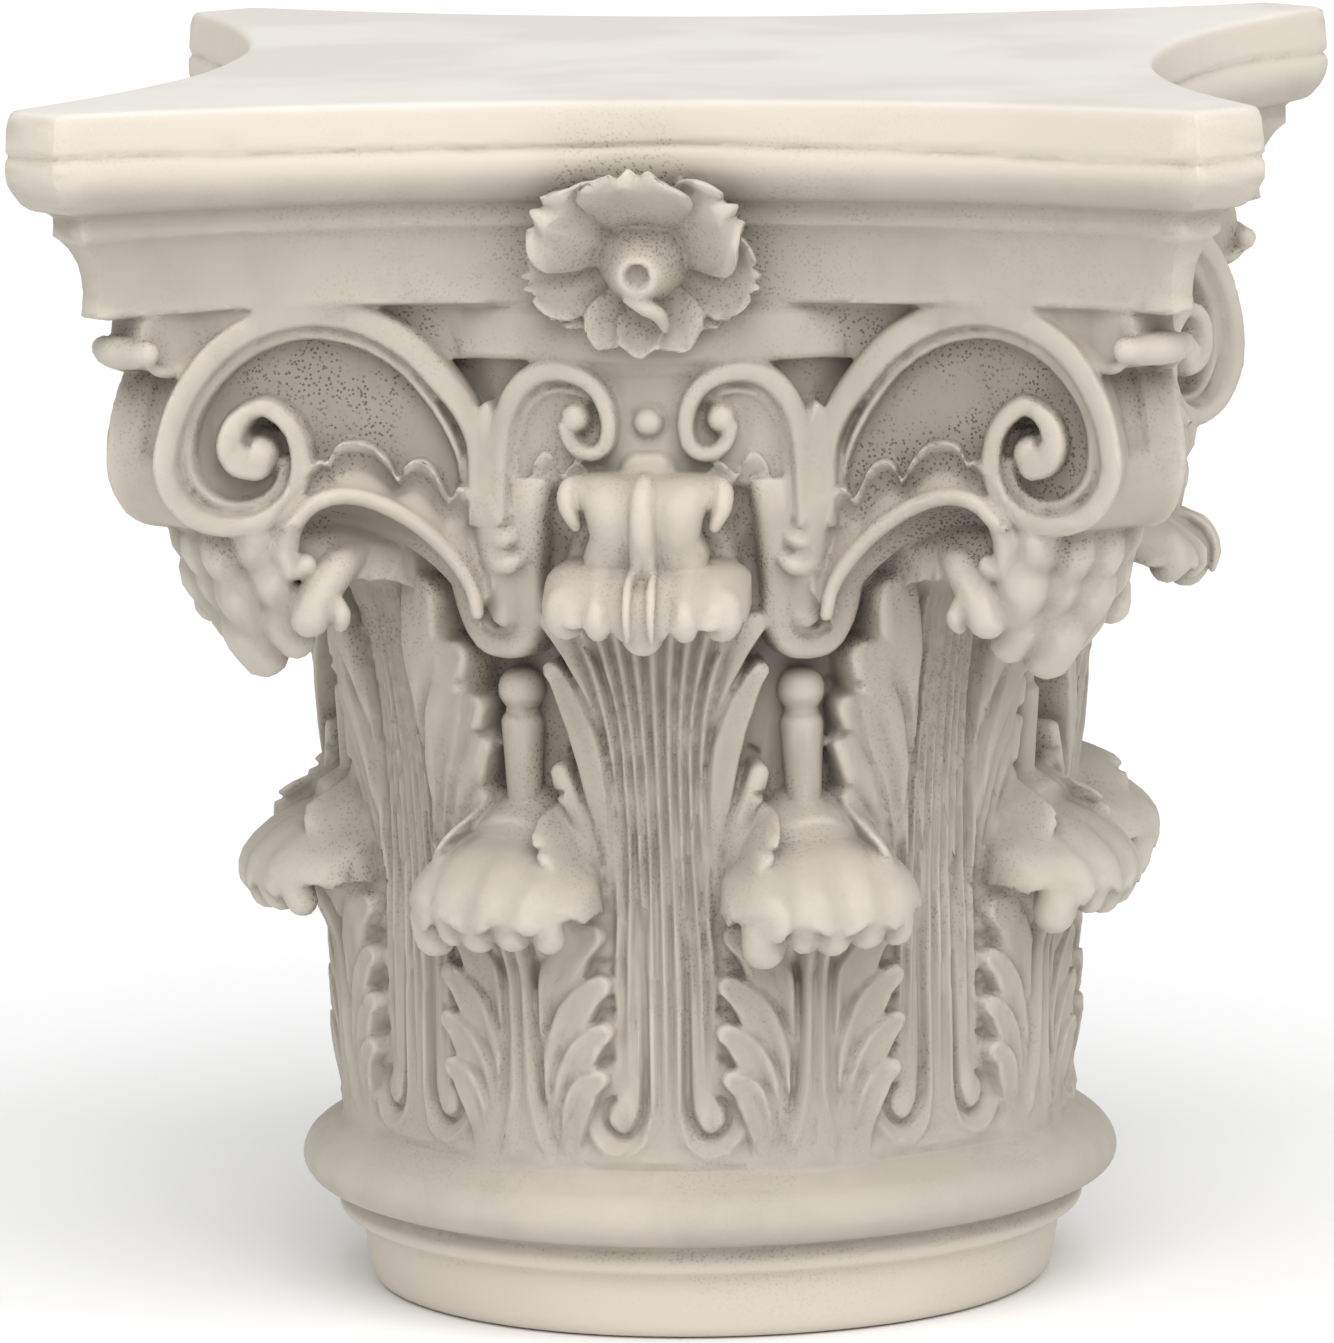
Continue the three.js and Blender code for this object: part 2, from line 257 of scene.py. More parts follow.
class Skins:
    """Closed skins collected as arrays of points and faces, to become one mesh."""

    def __init__(self):
        self.points = []
        self.quads = []
        self.triangles = []
        self.count = 0

    def put(self, points, quads, triangles=()):
        self.points.append(np.asarray(points, float).reshape(-1, 3))
        self.quads.append(np.asarray(quads, int).reshape(-1, 4) + self.count)
        self.triangles.append(np.asarray(triangles, int).reshape(-1, 3) + self.count)
        self.count += len(self.points[-1])

    def tube(self, rings):
        """A skin over closed rings, shape (rings, around, 3), with its two ends capped."""
        many, around, _ = rings.shape
        index = np.arange(many * around).reshape(many, around)
        beside = np.roll(index, -1, axis=1)
        quads = np.stack([index[:-1], beside[:-1], beside[1:], index[1:]], axis=-1)
        ends = [rings[0].mean(0), rings[-1].mean(0)]
        first = many * around
        last = first + 1
        caps = [np.stack([beside[0], index[0], np.full(around, first)], axis=-1)]
        caps.append(np.stack([index[-1], beside[-1], np.full(around, last)], axis=-1))
        self.put(np.concatenate([rings.reshape(-1, 3), ends]), quads, np.concatenate(caps))

    def sheet(self, front, back):
        """A closed skin between a front and a back grid of the same shape."""
        rows, columns, _ = front.shape
        index = np.arange(rows * columns).reshape(rows, columns)
        behind = index + rows * columns
        face = np.stack([index[:-1, :-1], index[:-1, 1:], index[1:, 1:], index[1:, :-1]], axis=-1)
        face = face.reshape(-1, 4)
        faces = [face, face[:, ::-1] + rows * columns]
        rim = np.concatenate([index[0], index[1:, -1], index[-1, -2::-1], index[-2:0:-1, 0]])
        rim_back = np.concatenate([behind[0], behind[1:, -1], behind[-1, -2::-1], behind[-2:0:-1, 0]])
        faces.append(np.stack([rim, rim_back, np.roll(rim_back, -1), np.roll(rim, -1)], axis=-1))
        self.put(np.concatenate([front.reshape(-1, 3), back.reshape(-1, 3)]), np.concatenate(faces))

    def finger(self, points, radii, around=14):
        """A round-ended finger along a curve, its rings carried along without twisting."""
        path = smooth_path(points, count=max(8, 3 * len(points)))
        radii = spread(radii, len(path))
        run = np.gradient(path, axis=0)
        run /= np.linalg.norm(run, axis=1)[:, None]
        last = np.cross(run[0], (0.0, 0.0, 1.0))
        if np.linalg.norm(last) < 0.1:
            last = np.array([1.0, 0.0, 0.0])
        side = np.zeros_like(run)
        for k, ahead in enumerate(run):
            last = last - (last @ ahead) * ahead
            last = last / np.linalg.norm(last)
            side[k] = last
        other = np.cross(side, run)
        angle = np.linspace(0, 2 * np.pi, around, endpoint=False)

        def ring(k, radius, shift):
            circle = np.cos(angle)[:, None] * side[k] + np.sin(angle)[:, None] * other[k]
            return path[k] + run[k] * shift + radius * circle

        rings = []
        for turn in np.radians([80, 55, 28]):
            rings.append(ring(0, radii[0] * math.cos(turn), -radii[0] * math.sin(turn)))
        rings += [ring(k, radii[k], 0) for k in range(len(path))]
        for turn in np.radians([28, 55, 80]):
            rings.append(ring(-1, radii[-1] * math.cos(turn), radii[-1] * math.sin(turn)))
        self.tube(np.array(rings))

    def copies(self, other, bearings, mirror=False):
        """Every skin of another collection, turned to each bearing, and mirrored too if asked."""
        points = np.concatenate(other.points)
        quads = np.concatenate(other.quads)
        triangles = np.concatenate(other.triangles)
        for flip in ([1, -1] if mirror else [1]):
            for bearing in bearings:
                c = math.cos(math.radians(bearing))
                s = math.sin(math.radians(bearing))
                turn = np.array([[c, s, 0], [-s, c, 0], [0, 0, 1]])
                placed = (points * [flip, 1, 1]) @ turn
                self.put(placed, quads[:, ::flip], triangles[:, ::flip])

    def mesh(self, name, place):
        """All the skins as one mesh in metres, after place has moved their points."""
        points = place(np.concatenate(self.points)) * MM
        quads = np.concatenate(self.quads)
        triangles = np.concatenate(self.triangles)
        corners = np.concatenate([quads.ravel(), triangles.ravel()])
        sizes = np.repeat([4, 3], [len(quads), len(triangles)])
        mesh = bpy.data.meshes.new(name)
        mesh.vertices.add(len(points))
        mesh.vertices.foreach_set("co", points.ravel())
        mesh.loops.add(len(corners))
        mesh.loops.foreach_set("vertex_index", corners)
        mesh.polygons.add(len(sizes))
        mesh.polygons.foreach_set("loop_start", np.concatenate([[0], np.cumsum(sizes)[:-1]]))
        mesh.update(calc_edges=True)
        mesh.validate()
        return mesh


# ---------------------------------------------------------------- foot and slab

def foot(skins):
    """The drum, a small step and the half-round bead that the bell stands on."""
    drum = [(126, 0), (131, 1.5), (133.5, 6), (135.5, 16), (137, 26)]
    step = [(138, 27.2), (144, 28.5), (146, 32.5), (144.5, 37), (143.5, 38.5)]
    bead = [(148, 39.5), (157, 43.5), (160, 50.5), (156.5, 58.5), (148, 65), (141, 69.5), (130, 74)]
    profile = [smooth_path(drum, 16), smooth_path(step, 14), smooth_path(bead, 26)]
    skins.tube(turned(np.concatenate(profile), 300))


def slab_outline(inset, count=64):
    """The slab's plan: four hollow sides joined by four cut corners."""
    chord = SLAB_HALF - SLAB_CORNER - inset * (math.sqrt(2) - 1)
    across = np.linspace(-1, 1, count)
    side = np.stack([chord * across, -(SLAB_HALF - inset) + SLAB_HOLLOW * (1 - across**2)], axis=1)
    cut = np.linspace(0, 1, 10)[1:-1, None]
    end = np.array([-side[0, 1], side[0, 0]])
    piece = np.concatenate([side, side[-1] * (1 - cut) + end * cut])
    turns = [np.array([[0, 1], [-1, 0]]), np.array([[-1, 0], [0, -1]]), np.array([[0, -1], [1, 0]])]
    return np.concatenate([piece] + [piece @ turn for turn in turns])


def slab(skins):
    """Square-edged upper band, a seam all round, a rounded band, a fillet and a hollow below."""
    top_edge = [(9, SLAB_TOP), (4, 479.2), (1.8, 476.5), (0.9, 470)]
    seam = [(0.5, 466), (0.4, 463.4), (1.0, 462.6), (2.4, 461.7), (1.6, 461.0), (0.2, 459.6)]
    rounded = [(0, 457), (0.6, 453), (3.4, 447.4), (7, 443.4), (10.4, 441.8)]
    fillet = [(16.6, 440.6), (16.8, 436), (16.4, 432.4)]
    hollow = [(18.4, 431.2), (22, 427.6), (25.5, 421), (27, 412), (26.6, 404), (26, 402)]
    profile = np.concatenate([
        [(60, SLAB_TOP)], smooth_path(top_edge, 10), seam, smooth_path(rounded, 14),
        fillet, smooth_path(hollow, 16), [(34, 400.5), (70, 400)],
    ])
    rings = []
    for inset, z in profile:
        plan = slab_outline(inset)
        walk = np.linspace(0, 2 * np.pi, len(plan), endpoint=False)
        wave = 1.1 * np.sin(3 * walk + 0.6) + 0.9 * np.sin(7 * walk + 2) + 0.3 * np.sin(19 * walk)
        rings.append(np.column_stack([plan, z + bump(z, SEAM_HEIGHT, 12) * wave]))
    skins.tube(np.array(rings[::-1]))


# ---------------------------------------------------------------- bell with its leaves in relief
#
# Each leaf is carved on the bell's map through its own function at, which places points given
# as (degrees from the leaf's middle, height).

def leaf_middle(middle, turn):
    def at(points):
        return [(middle + turn * x, z) for x, z in points]

    return at


def carve_teeth(relief, at, teeth, half_width, depth):
    """Short notches that part the lobes along a leaf's edge."""
    for tooth in teeth:
        relief.add(at(tooth), half_width, -depth)


def carve_tall_leaf(relief, at):
    """Half of the leaf at mid-side, from its foot to where its tip curls over."""
    blade = [(-9, 150), (9, 150), (10.5, 184), (12, 198), (13.6, 214), (12.4, 230), (13.2, 246),
             (13.8, 264), (13.6, 276), (12, 310), (-9, 310)]
    relief.fill(at(blade), 142.4, bevel=3, drop=8)
    relief.raise_by(at([(0, 190), (0, 215), (0, 240), (0, 265), (0, 300)]),
                    [22, 26, 29, 34, 40], [0, 0.8, 1.6, 2.2, 2.6])
    relief.raise_by(at([(0, 180), (0, 210), (0, 240), (0, 262), (0, 285), (0, 300)]),
                    [26, 32, 34, 36, 38, 38], [0, 1.5, 3.6, 6.4, 11, 16])
    relief.lobe(at([(6.4, 214), (7.2, 236), (8.8, 254), (11.2, 268), (14.2, 280)]),
                [1.8, 3.6, 4.8, 5.6, 4.8], [145.4, 148.6, 152, 155, 158.5], moat=2.2, scoop=1.3)
    relief.lobe(at([(7.4, 168), (8.4, 192), (9.0, 212), (10.2, 230), (12.0, 245), (14.2, 257), (15.4, 261)]),
                [2, 3.6, 4.6, 5.4, 5.8, 5.4, 3.6],
                [143.8, 146.2, 148.2, 150.4, 151.8, 152.6, 152.6], moat=2.2, scoop=1.4)
    relief.lobe(at([(9.6, 170), (11.4, 191), (13.4, 208.6), (15, 221)]),
                [2.4, 4.4, 5.6, 4.4], [143.8, 146, 148, 147.8], moat=2.2)
    relief.lobe(at([(9.8, 162), (12, 180), (14.2, 194), (16, 205)]),
                [2.4, 4.2, 5, 4], [143.6, 145.4, 146.8, 146.4], moat=2)
    teeth = ([(14.4, 229), (15.6, 227)], [(14.9, 213.4), (16.6, 213)], [(14.6, 194.6), (16.6, 194)])
    carve_teeth(relief, at, teeth, 2, 4)


def carve_corner_leaf(relief, at):
    """Half of the leaf at a corner, with broader, smoother lobes than the one at mid-side."""
    blade = [(-9, 150), (9, 150), (11, 184), (14, 198), (16, 212), (15.2, 222), (16, 240),
             (14.6, 258), (13.6, 276), (12.4, 320), (-9, 320)]
    relief.fill(at(blade), 142.4, bevel=3, drop=8)
    relief.raise_by(at([(0, 180), (0, 215), (0, 245), (0, 275), (0, 310)]),
                    [26, 34, 36, 38, 38], [0, 2, 6, 12, 26])
    relief.lobe(at([(6.6, 190), (7.8, 220), (8.8, 248), (10, 272), (11, 288)]),
                [1.6, 4, 7.4, 9.4, 8], [145.6, 150, 155, 161, 166], moat=2.4, scoop=1.8)
    relief.lobe(at([(7, 172), (8.8, 204), (11, 234), (13.4, 256), (14.4, 264)]),
                [2, 5, 8, 8.8, 6.6], [144, 148.4, 152.4, 156, 156.5], moat=2.4, scoop=1.6)
    relief.lobe(at([(8.4, 170), (11, 200), (13.6, 226), (16, 244)]),
                [2.4, 5.4, 7.4, 5.6], [143.8, 148, 150.6, 150.8], moat=2.2, scoop=1.4)
    relief.lobe(at([(9.4, 170), (12, 194), (14.6, 215), (16.8, 230)]),
                [2.4, 5, 6.4, 4.8], [143.8, 147, 148.8, 148.4], moat=2.2, scoop=1.2)
    relief.lobe(at([(9.6, 166), (12.2, 184), (14.4, 198), (16.2, 210)]),
                [2.4, 4, 4.8, 3.8], [143.6, 145.6, 147, 146.6], moat=2)
    teeth = ([(15.4, 254), (17.4, 253)], [(16.8, 234), (18.6, 233)],
             [(17.2, 212), (19, 212)], [(15.8, 194), (18, 194)])
    carve_teeth(relief, at, teeth, 2.2, 4)


FLUTE_HEIGHTS = [82, 120, 150, 170, 190, 215, 240, 265, 288]
MID_SIDE_FAN = [9.4, 9.2, 8.8, 8.2, 7.8, 7.8, 8.6, 10.8, 14]
CORNER_FAN = [9.4, 9.2, 8.8, 8.4, 7.8, 7.2, 6.6, 6.4, 6.6]


def fan_line(fan, share, start):
    """One line of a fan of flutes, at a share of the fan's half width, from its starting height up."""
    line = [(share * half, z) for half, z in zip(fan, FLUTE_HEIGHTS) if z > start]
    return [(share * fan[0], start)] + line


def carve_flutes(relief, at, fan):
    """The fan of flutes up a tall leaf's middle, and the hook that its widest flute ends in below."""
    for share, start in ((0.0, 84), (0.22, 90), (0.42, 150), (0.62, 100), (0.82, 104)):
        relief.add(at(fan_line(fan, share, start)), [1.6, 2.3, 2.4, 2.4, 2.6, 3.2],
                   [0.3, 1.5, 1.6, 1.8, 2.0, 2.0], power=1.6)
    for share, start in ((0.11, 88), (0.32, 150), (0.52, 104), (0.72, 104), (0.93, 112)):
        relief.add(at(fan_line(fan, share, start)), [1.1, 1.6, 1.7, 1.7, 1.8, 1.9],
                   [-0.8, -2.3, -2.4, -2.4, -2.5, -2.2])
    rim = [(2.2, 130), (2.0, 104), (2.1, 90), (3.4, 78.6), (6.2, 74.4), (9.4, 76), (11.6, 83),
           (11.8, 92), (10.4, 99)]
    relief.add(at(rim), [1.4, 2.2, 2.6, 2.6, 2.2], [0.6, 1.4, 2.0, 2.2, 1.6])
    hook = [(4.2, 200), (3.7, 170), (3.4, 145), (3.3, 118), (3.3, 100), (3.7, 90), (4.9, 83.4),
            (6.8, 80.8), (8.7, 83), (9.8, 88), (9.4, 93.6), (8.2, 96)]
    relief.add(at(hook), [1.2, 1.5, 1.8, 2.0, 2.2, 2.2, 2.0], [-1.6, -2.8, -3.4, -4.0, -4.4, -4.4, -3.6])


def carve_low_leaf(relief, at):
    """Half of a low leaf: four lobes one over another, and the stem with its lines."""
    blade = [(-9, 66), (10, 66), (9, 78), (7.5, 92), (8, 108), (8.4, 124), (9.4, 140), (11.4, 152),
             (12, 172), (-9, 172)]
    relief.fill(at(blade), 144.8, bevel=3, drop=3)
    relief.raise_by(at([(0, 140), (0, 160), (0, 178)]), [26, 32, 34], [0, 4, 11])
    lobes = (
        ([(4.9, 72), (4.6, 96), (4.9, 122), (6.4, 141), (8.8, 153), (11.4, 159)],
         [1.6, 3.4, 6, 8.4, 8.8, 5.6]),
        ([(5.8, 71), (5.6, 92), (6.4, 112), (8.4, 127), (10.8, 136), (12.8, 140)],
         [1.6, 3.6, 5.8, 7.4, 7.2, 4.6]),
        ([(6.8, 71), (6.6, 86), (7.6, 100), (9.6, 112), (11.8, 119.4), (13.2, 122)],
         [1.6, 3.6, 5.6, 6.8, 6.4, 4.2]),
        ([(8.6, 70.6), (8, 80), (8.8, 91), (10.4, 100), (12.4, 104)], [2, 4.4, 6, 6.2, 4.2]),
    )
    for line, widths in lobes:
        relief.lobe(at(line), widths, [145.2, 146.2, 147.6, 148.8, 149.4], drop=3.4, moat=2.2, scoop=1.7)
        vein = [(x - 0.5, z) for x, z in line[1:-1]]
        relief.add(at(vein), [0.8, 1.2, 1.2, 0.8], [-0.4, -1.4, -1.4, -0.6])
    teeth = ([(12, 148), (13.6, 149)], [(13, 129.4), (14.4, 130.4)], [(13, 110.6), (14.2, 112)])
    carve_teeth(relief, at, teeth, 1.9, 2.6)
    relief.pad(at([(0, 70), (0, 86), (0, 110), (0, 140), (0, 170)]),
               [15, 7.4, 5.6, 5.6, 6.4], [145.4, 147, 148, 149.4, 155], drop=2.8)
    relief.add(at([(0, 176), (0, 110), (0, 78)]), 1.4, -1.6)
    relief.add(at([(1.1, 174), (1.1, 112), (1.7, 92), (3.4, 76)]), 1.6, 1.4)
    relief.add(at([(2.6, 172), (2.5, 124), (3.0, 100), (4.2, 84), (5.4, 75)]), 1.8, [-3, -3, -2.8, -1.4])
    relief.add(at([(3.8, 164), (3.5, 124), (3.8, 100), (4.4, 82)]), 1.5, 1.2)
    relief.pad(at([(0, 166), (0, 184), (0, 195)]), [25, 25, 20], [146, 148, 143], drop=11)


def carve_cup(relief, at):
    """Half of the cup on the stalk, with its drop-shaped eye."""
    relief.pad(at([(0, 271), (2.4, 272.6), (4.2, 281), (5, 296), (5.6, 312), (6.4, 334)]),
               [7, 7, 6.5, 6.5, 7, 8], [155, 157, 161, 165, 167, 168], drop=8)
    relief.pad(at([(0, 301), (0, 316), (0, 334)]), [6, 9, 11], [161, 165, 167], drop=5)
    eye = [(1.4, 280), (1.9, 287), (1.2, 296), (0, 300.5), (-1.5, 290), (0, 278)]
    relief.fill(at(eye), 150, bevel=2, drop=6, cut=True)
    relief.add(at([(0, 273.6), (2.2, 275.8), (3.2, 281.6), (3.1, 291)]), 1.5, -2.2)


def bell(skins):
    """The bell from foot to volutes: a map of an eighth of it, mirrored and repeated round."""
    bearings = np.linspace(0, 45, 271)
    heights = np.linspace(62, 336, 600)
    across, up = np.meshgrid(bearings, heights)
    core = read_off(up, ((60, 138), (69, 140.5), (72, 143.2), (84, 142), (168, 142), (196, 131.5),
                         (265, 134), (310, 142), (340, 150)))
    relief = Relief(across, up, core, math.radians(1) * BODY_RADIUS)
    mid_side = leaf_middle(0, 1)
    mid_corner = leaf_middle(45, -1)
    carve_tall_leaf(relief, mid_side)
    carve_corner_leaf(relief, mid_corner)
    carve_flutes(relief, mid_side, MID_SIDE_FAN)
    carve_flutes(relief, mid_corner, CORNER_FAN)
    for turn in (1, -1):
        carve_low_leaf(relief, leaf_middle(22.5, turn))
        carve_cup(relief, leaf_middle(22.5, turn))
    z = relief.places[:, 1]
    root = read_off(z, ((62, 150), (65, 146), (67.4, 143), (72, 144.6), (78, 142)))
    relief.height = np.where(z < 78, np.maximum(relief.height, root), relief.height)
    around = np.arange(0, 360, 0.24)
    folded = np.abs((around + 45) % 90 - 45)
    column = folded / 45 * (len(bearings) - 1)
    low = np.minimum(column.astype(int), len(bearings) - 2)
    share = column - low
    radius = relief.grid[:, low] * (1 - share) + relief.grid[:, low + 1] * share
    rings = polar(around[None, :], radius, heights[:, None])
    skins.tube(rings[:, ::-1])


def carve_small_scroll(relief):
    """Half of the two small scrolls at mid-side, with their stems, the web and the button between them."""
    relief.fill([(-20, 336), (12, 336), (20, 346), (24, 362), (22, 379), (-20, 379)], 163, bevel=6, drop=3)
    relief.fill([(18, 340), (54, 330), (54, 352), (48, 366), (36, 372), (24, 370)], 163.5, bevel=4, drop=3)
    relief.fill([(-10, 375), (20, 375), (30, 379), (30, 383), (-10, 383)], 165, bevel=4, drop=3)
    relief.pad([(64, 316), (63.6, 338), (63, 352), (63.4, 362)], [10, 8, 5, 2.4], 169.5, drop=6, power=6)
    spiral = [(58, 318), (57.6, 338), (57, 352), (54, 363), (48, 371.6), (40, 376.4), (31, 376.8),
              (22.6, 373.6), (16.8, 367), (14.4, 358), (15.6, 350), (20, 346.2), (25.6, 347),
              (29.6, 351), (31.2, 356.4)]
    relief.pad(spiral, [3, 3.4, 4.2, 5.0, 5.2, 4.8, 4.2, 3.8, 3.4, 3.2, 3.2], 170, drop=8, power=6)
    relief.pad([(27.4, 359.4), (27.8, 360.4)], [5.6, 5.4], 171, drop=7, power=3)
    bead = [(52.6, 338), (51.8, 349), (48.8, 359), (43.4, 366.2), (36.6, 369.4), (29, 369), (23.4, 365.6)]
    relief.pad(bead, 1.8, 166, drop=4, power=2)
    relief.add([(31.5, 364), (26, 366.4), (21.6, 362.6), (21.4, 356), (25, 352.6)], 1.6, -3)
    relief.pad([(0, 357.8), (0.6, 357.8)], 5.6, 167.4, drop=5, power=2)
    relief.add([(0, 364.6), (4, 363.4), (6.9, 358), (4, 352.6), (0, 351.2)], 1.3, -1.8)
    relief.pad([(0, 339), (3, 339)], 8.5, 171, drop=9, power=2)


def upper_bell(skins):
    """The bell's top: its lip, and the small scrolls with the web between them in relief."""
    x = np.linspace(0, 74, 149)
    heights = np.linspace(318, 404, 173)
    across, up = np.meshgrid(x, heights)
    core = read_off(up, ((318, 150), (345, 156), (372, 158), (379.4, 160), (380.4, 166.6), (383, 167.6),
                         (398, 167.6), (401, 165.5), (404, 160)))
    relief = Relief(across, up, core)
    carve_small_scroll(relief)
    mirrored = np.concatenate([relief.grid[:, :0:-1], relief.grid], axis=1)
    along = np.concatenate([-x[:0:-1], x])
    bearing = np.degrees(along / LIP_RADIUS)[None, :]
    side = Skins()
    side.sheet(polar(bearing, mirrored, heights[:, None]), polar(bearing, 120, heights[:, None]))
    skins.copies(side, EVERY_SIDE)
    lip = [(120, 330), (150, 340), (158, 372), (160, 379.4), (166.6, 380.4), (167.6, 383), (167.6, 398),
           (165.5, 401), (120, 404)]
    skins.tube(turned(lip, 240))


# ---------------------------------------------------------------- corner scrolls

VOLUTE_MIDDLE = (140.0, 352.0)
VOLUTE_OUTLINE = [(62, 318), (60, 345), (64, 361), (72, 374), (84, 388), (100, 399.5), (116, 404.4),
                  (130, 405), (148, 400.5), (165, 389), (176, 372), (181, 352), (180.5, 337), (172, 323),
                  (160, 317), (147, 316), (134, 321.5), (122, 327), (104, 328), (84, 322)]
VOLUTE_BAND = [(65.5, 318), (65.4, 345), (69.4, 359), (77.5, 371), (90, 385), (105, 394.6), (118, 398.4),
               (130, 398.8), (146, 394.4), (160, 384.6), (170.6, 369), (176, 351), (175.4, 338),
               (168.6, 326.8), (158.8, 321.4), (147, 320.6), (136.4, 326), (130.6, 335), (129.8, 347),
               (133.6, 357.4), (141.4, 364.2), (148, 363)]
VOLUTE_CURL = [(148, 363), (152.4, 358), (153.4, 350.4), (150.6, 344.6), (145.6, 342.6)]
VOLUTE_BEAD = [(71.0, 330), (73.8, 345), (81.6, 361), (93.2, 376), (107.4, 386), (122, 390.2), (134, 390),
               (147.4, 385), (158.6, 375.6), (167, 362.4), (169.2, 348), (166.4, 336.6), (158, 328.8),
               (148, 327.6), (139.2, 332.6), (135.4, 343)]


def carve_volute(relief):
    """The sunk web, the bead beside the band, the band, and the snail in the middle."""
    x, z = relief.places.T
    web = read_off(x, ((60, -9), (90, -12), (130, -13), (185, -12)))
    relief.height = web + 0.08 * (z - 350).clip(-30, 0) * -1
    relief.pad(VOLUTE_BEAD, [1.8, 2.2, 2.6, 2.4, 2.2], [-5, -4.4, -4, -4.4, -5.4], drop=5, power=3)
    relief.pad(VOLUTE_BAND, [4.6, 5.2, 6.2, 6.4, 6.2, 5.6, 5.0, 4.6, 4.4, 4.2, 3.8], 0, drop=12, power=8)
    relief.pad(VOLUTE_CURL, [3.8, 5, 6.4, 6.6, 6.2], 1.2, drop=12, power=6)
    relief.pad([(144.4, 346.4), (145.4, 347)], 6.6, 1.6, drop=10, power=4)
    relief.add([(139.6, 356), (144.6, 357), (148.4, 353.6), (147.6, 350.8)], [2.6, 2.2, 1.8], -6)


def corner_scroll(skins):
    """A corner's two volutes and the rim between them, as one skin round the scroll's outline."""
    outline = smooth_path(VOLUTE_OUTLINE, 300, closed=True)[:-1]
    middle_x, middle_z = VOLUTE_MIDDLE
    share_out = (1 - np.linspace(1, 0.0, 74) ** 1.1 * 0.985)[:, None]
    across = middle_x + share_out * (outline[None, :, 0] - middle_x)
    up = middle_z + share_out * (outline[None, :, 1] - middle_z)
    relief = Relief(across, up, -10.0)
    carve_volute(relief)
    face = on_volute_face(across, up, relief.grid)
    mirrored = np.stack([-face[..., 1], -face[..., 0], face[..., 2]], axis=-1)
    start = face[-1]
    end = mirrored[-1]
    panel = ramp(start[:, 0], 150, 175) * ramp(start[:, 2], 344, 350) * (1 - ramp(start[:, 2], 376, 382))
    inward = np.array([-1, 1, 0]) / math.sqrt(2)
    rim = []
    for share in np.linspace(0, 1, 20)[1:-1]:
        edge = min(share, 1 - share)
        sink = 1.2 + 3.4 * panel * ramp(edge, 0.16, 0.22)
        rim.append(start * (1 - share) + end * share + inward * (sink * ramp(edge, 0, 0.1))[:, None])
    one = Skins()
    one.tube(np.concatenate([face, np.array(rim), mirrored[::-1]]))
    skins.copies(one, EVERY_SIDE)


# ---------------------------------------------------------------- curled tips

def hood(skins, profile, halves, creases, shorter, thick, side_roll, crease, notch, roll_power=6):
    """A leaf's tip that curls out and over, pointing to bearing 0.

    profile is its middle line as (radius, height) from the bell to the tip, and halves its half
    widths along it. creases are the places across it, from -1 to 1, of the creases between its
    lobes. shorter is the share of the curl that is left off at even steps across it.
    """
    line = smooth_path(profile, 44)
    run = np.gradient(line, axis=0)
    run /= np.linalg.norm(run, axis=1)[:, None]
    out = np.stack([-run[:, 1], run[:, 0]], axis=1)
    u = np.linspace(-1, 1, 81)
    v = np.linspace(0, 1, len(line))[:, None]
    edges = np.array([-1.0] + list(creases) + [1.0])
    swell = np.zeros_like(u)
    for a, b in zip(edges, edges[1:]):
        inside = (u >= a) & (u <= b)
        swell[inside] = np.sqrt(np.clip(1 - ((u[inside] - (a + b) / 2) / ((b - a) / 2)) ** 2, 0, 1))
    rolled = side_roll * (np.abs(u) ** roll_power)[None, :]
    lift = crease * (swell - 1)[None, :] * ramp(v, 0.25, 0.8) - rolled
    hang = v * (1 - notch * (1 - swell[None, :]) * ramp(v, 0.5, 1)) * (len(line) - 1)
    left_off = np.interp(u, np.linspace(-1, 1, len(shorter)), shorter)
    hang = np.clip(hang * (1 - left_off[None, :] * ramp(v, 0.4, 1)), 0, len(line) - 1.001)
    low = hang.astype(int)
    share = hang - low

    def pick(values):
        return values[low] * (1 - share) + values[low + 1] * share

    r = pick(line[:, 0])
    z = pick(line[:, 1])
    out_r = pick(out[:, 0])
    out_z = pick(out[:, 1])
    width = pick(spread(halves, len(line)))

    def place(proud):
        radius = r + out_r * proud
        return polar(np.degrees(u[None, :] * width / np.maximum(radius, 100)), radius, z + out_z * proud)

    body = spread(thick, len(line))[:, None] * (1 - 0.35 * np.abs(u[None, :]) ** 3)
    skins.sheet(place(lift), place(lift - body))


def low_hood(skins):
    """A low leaf's curled tip, with five round lobes under its rim."""
    one = Skins()
    hood(one, [(126, 194), (138, 197.5), (150, 197), (163, 193), (175, 186), (183.4, 177), (185.4, 168),
               (183.4, 160)],
         [22, 29, 34, 37, 38.5, 38, 36, 34], [-0.5, 0.0, 0.46], [0.04, 0, 0.1, 0, 0.1, 0.02, 0.12],
         [30, 30, 27, 21, 15, 12, 10, 8], side_roll=13, crease=2.2, notch=0.06, roll_power=3.2)
    lobes = ((-26.6, 9, 152.4), (-12, 7.2, 156.4), (-1, 7.8, 154.4), (13, 8.4, 156), (27, 6.6, 158))
    for across, size, low in lobes:
        sink = 13 * (abs(across) / 36) ** 3
        spots = [(176, 178, 0.95), (184.6 - size, 170, 1), (182.8 - size, low + size, 1.02)]
        line = [polar(math.degrees(across * wide / 180), r - sink, z - sink * 0.5) for r, z, wide in spots]
        one.finger(line, [size * 0.5, size, size * 0.94], around=18)
    skins.copies(one, EVERY_LOW_LEAF)


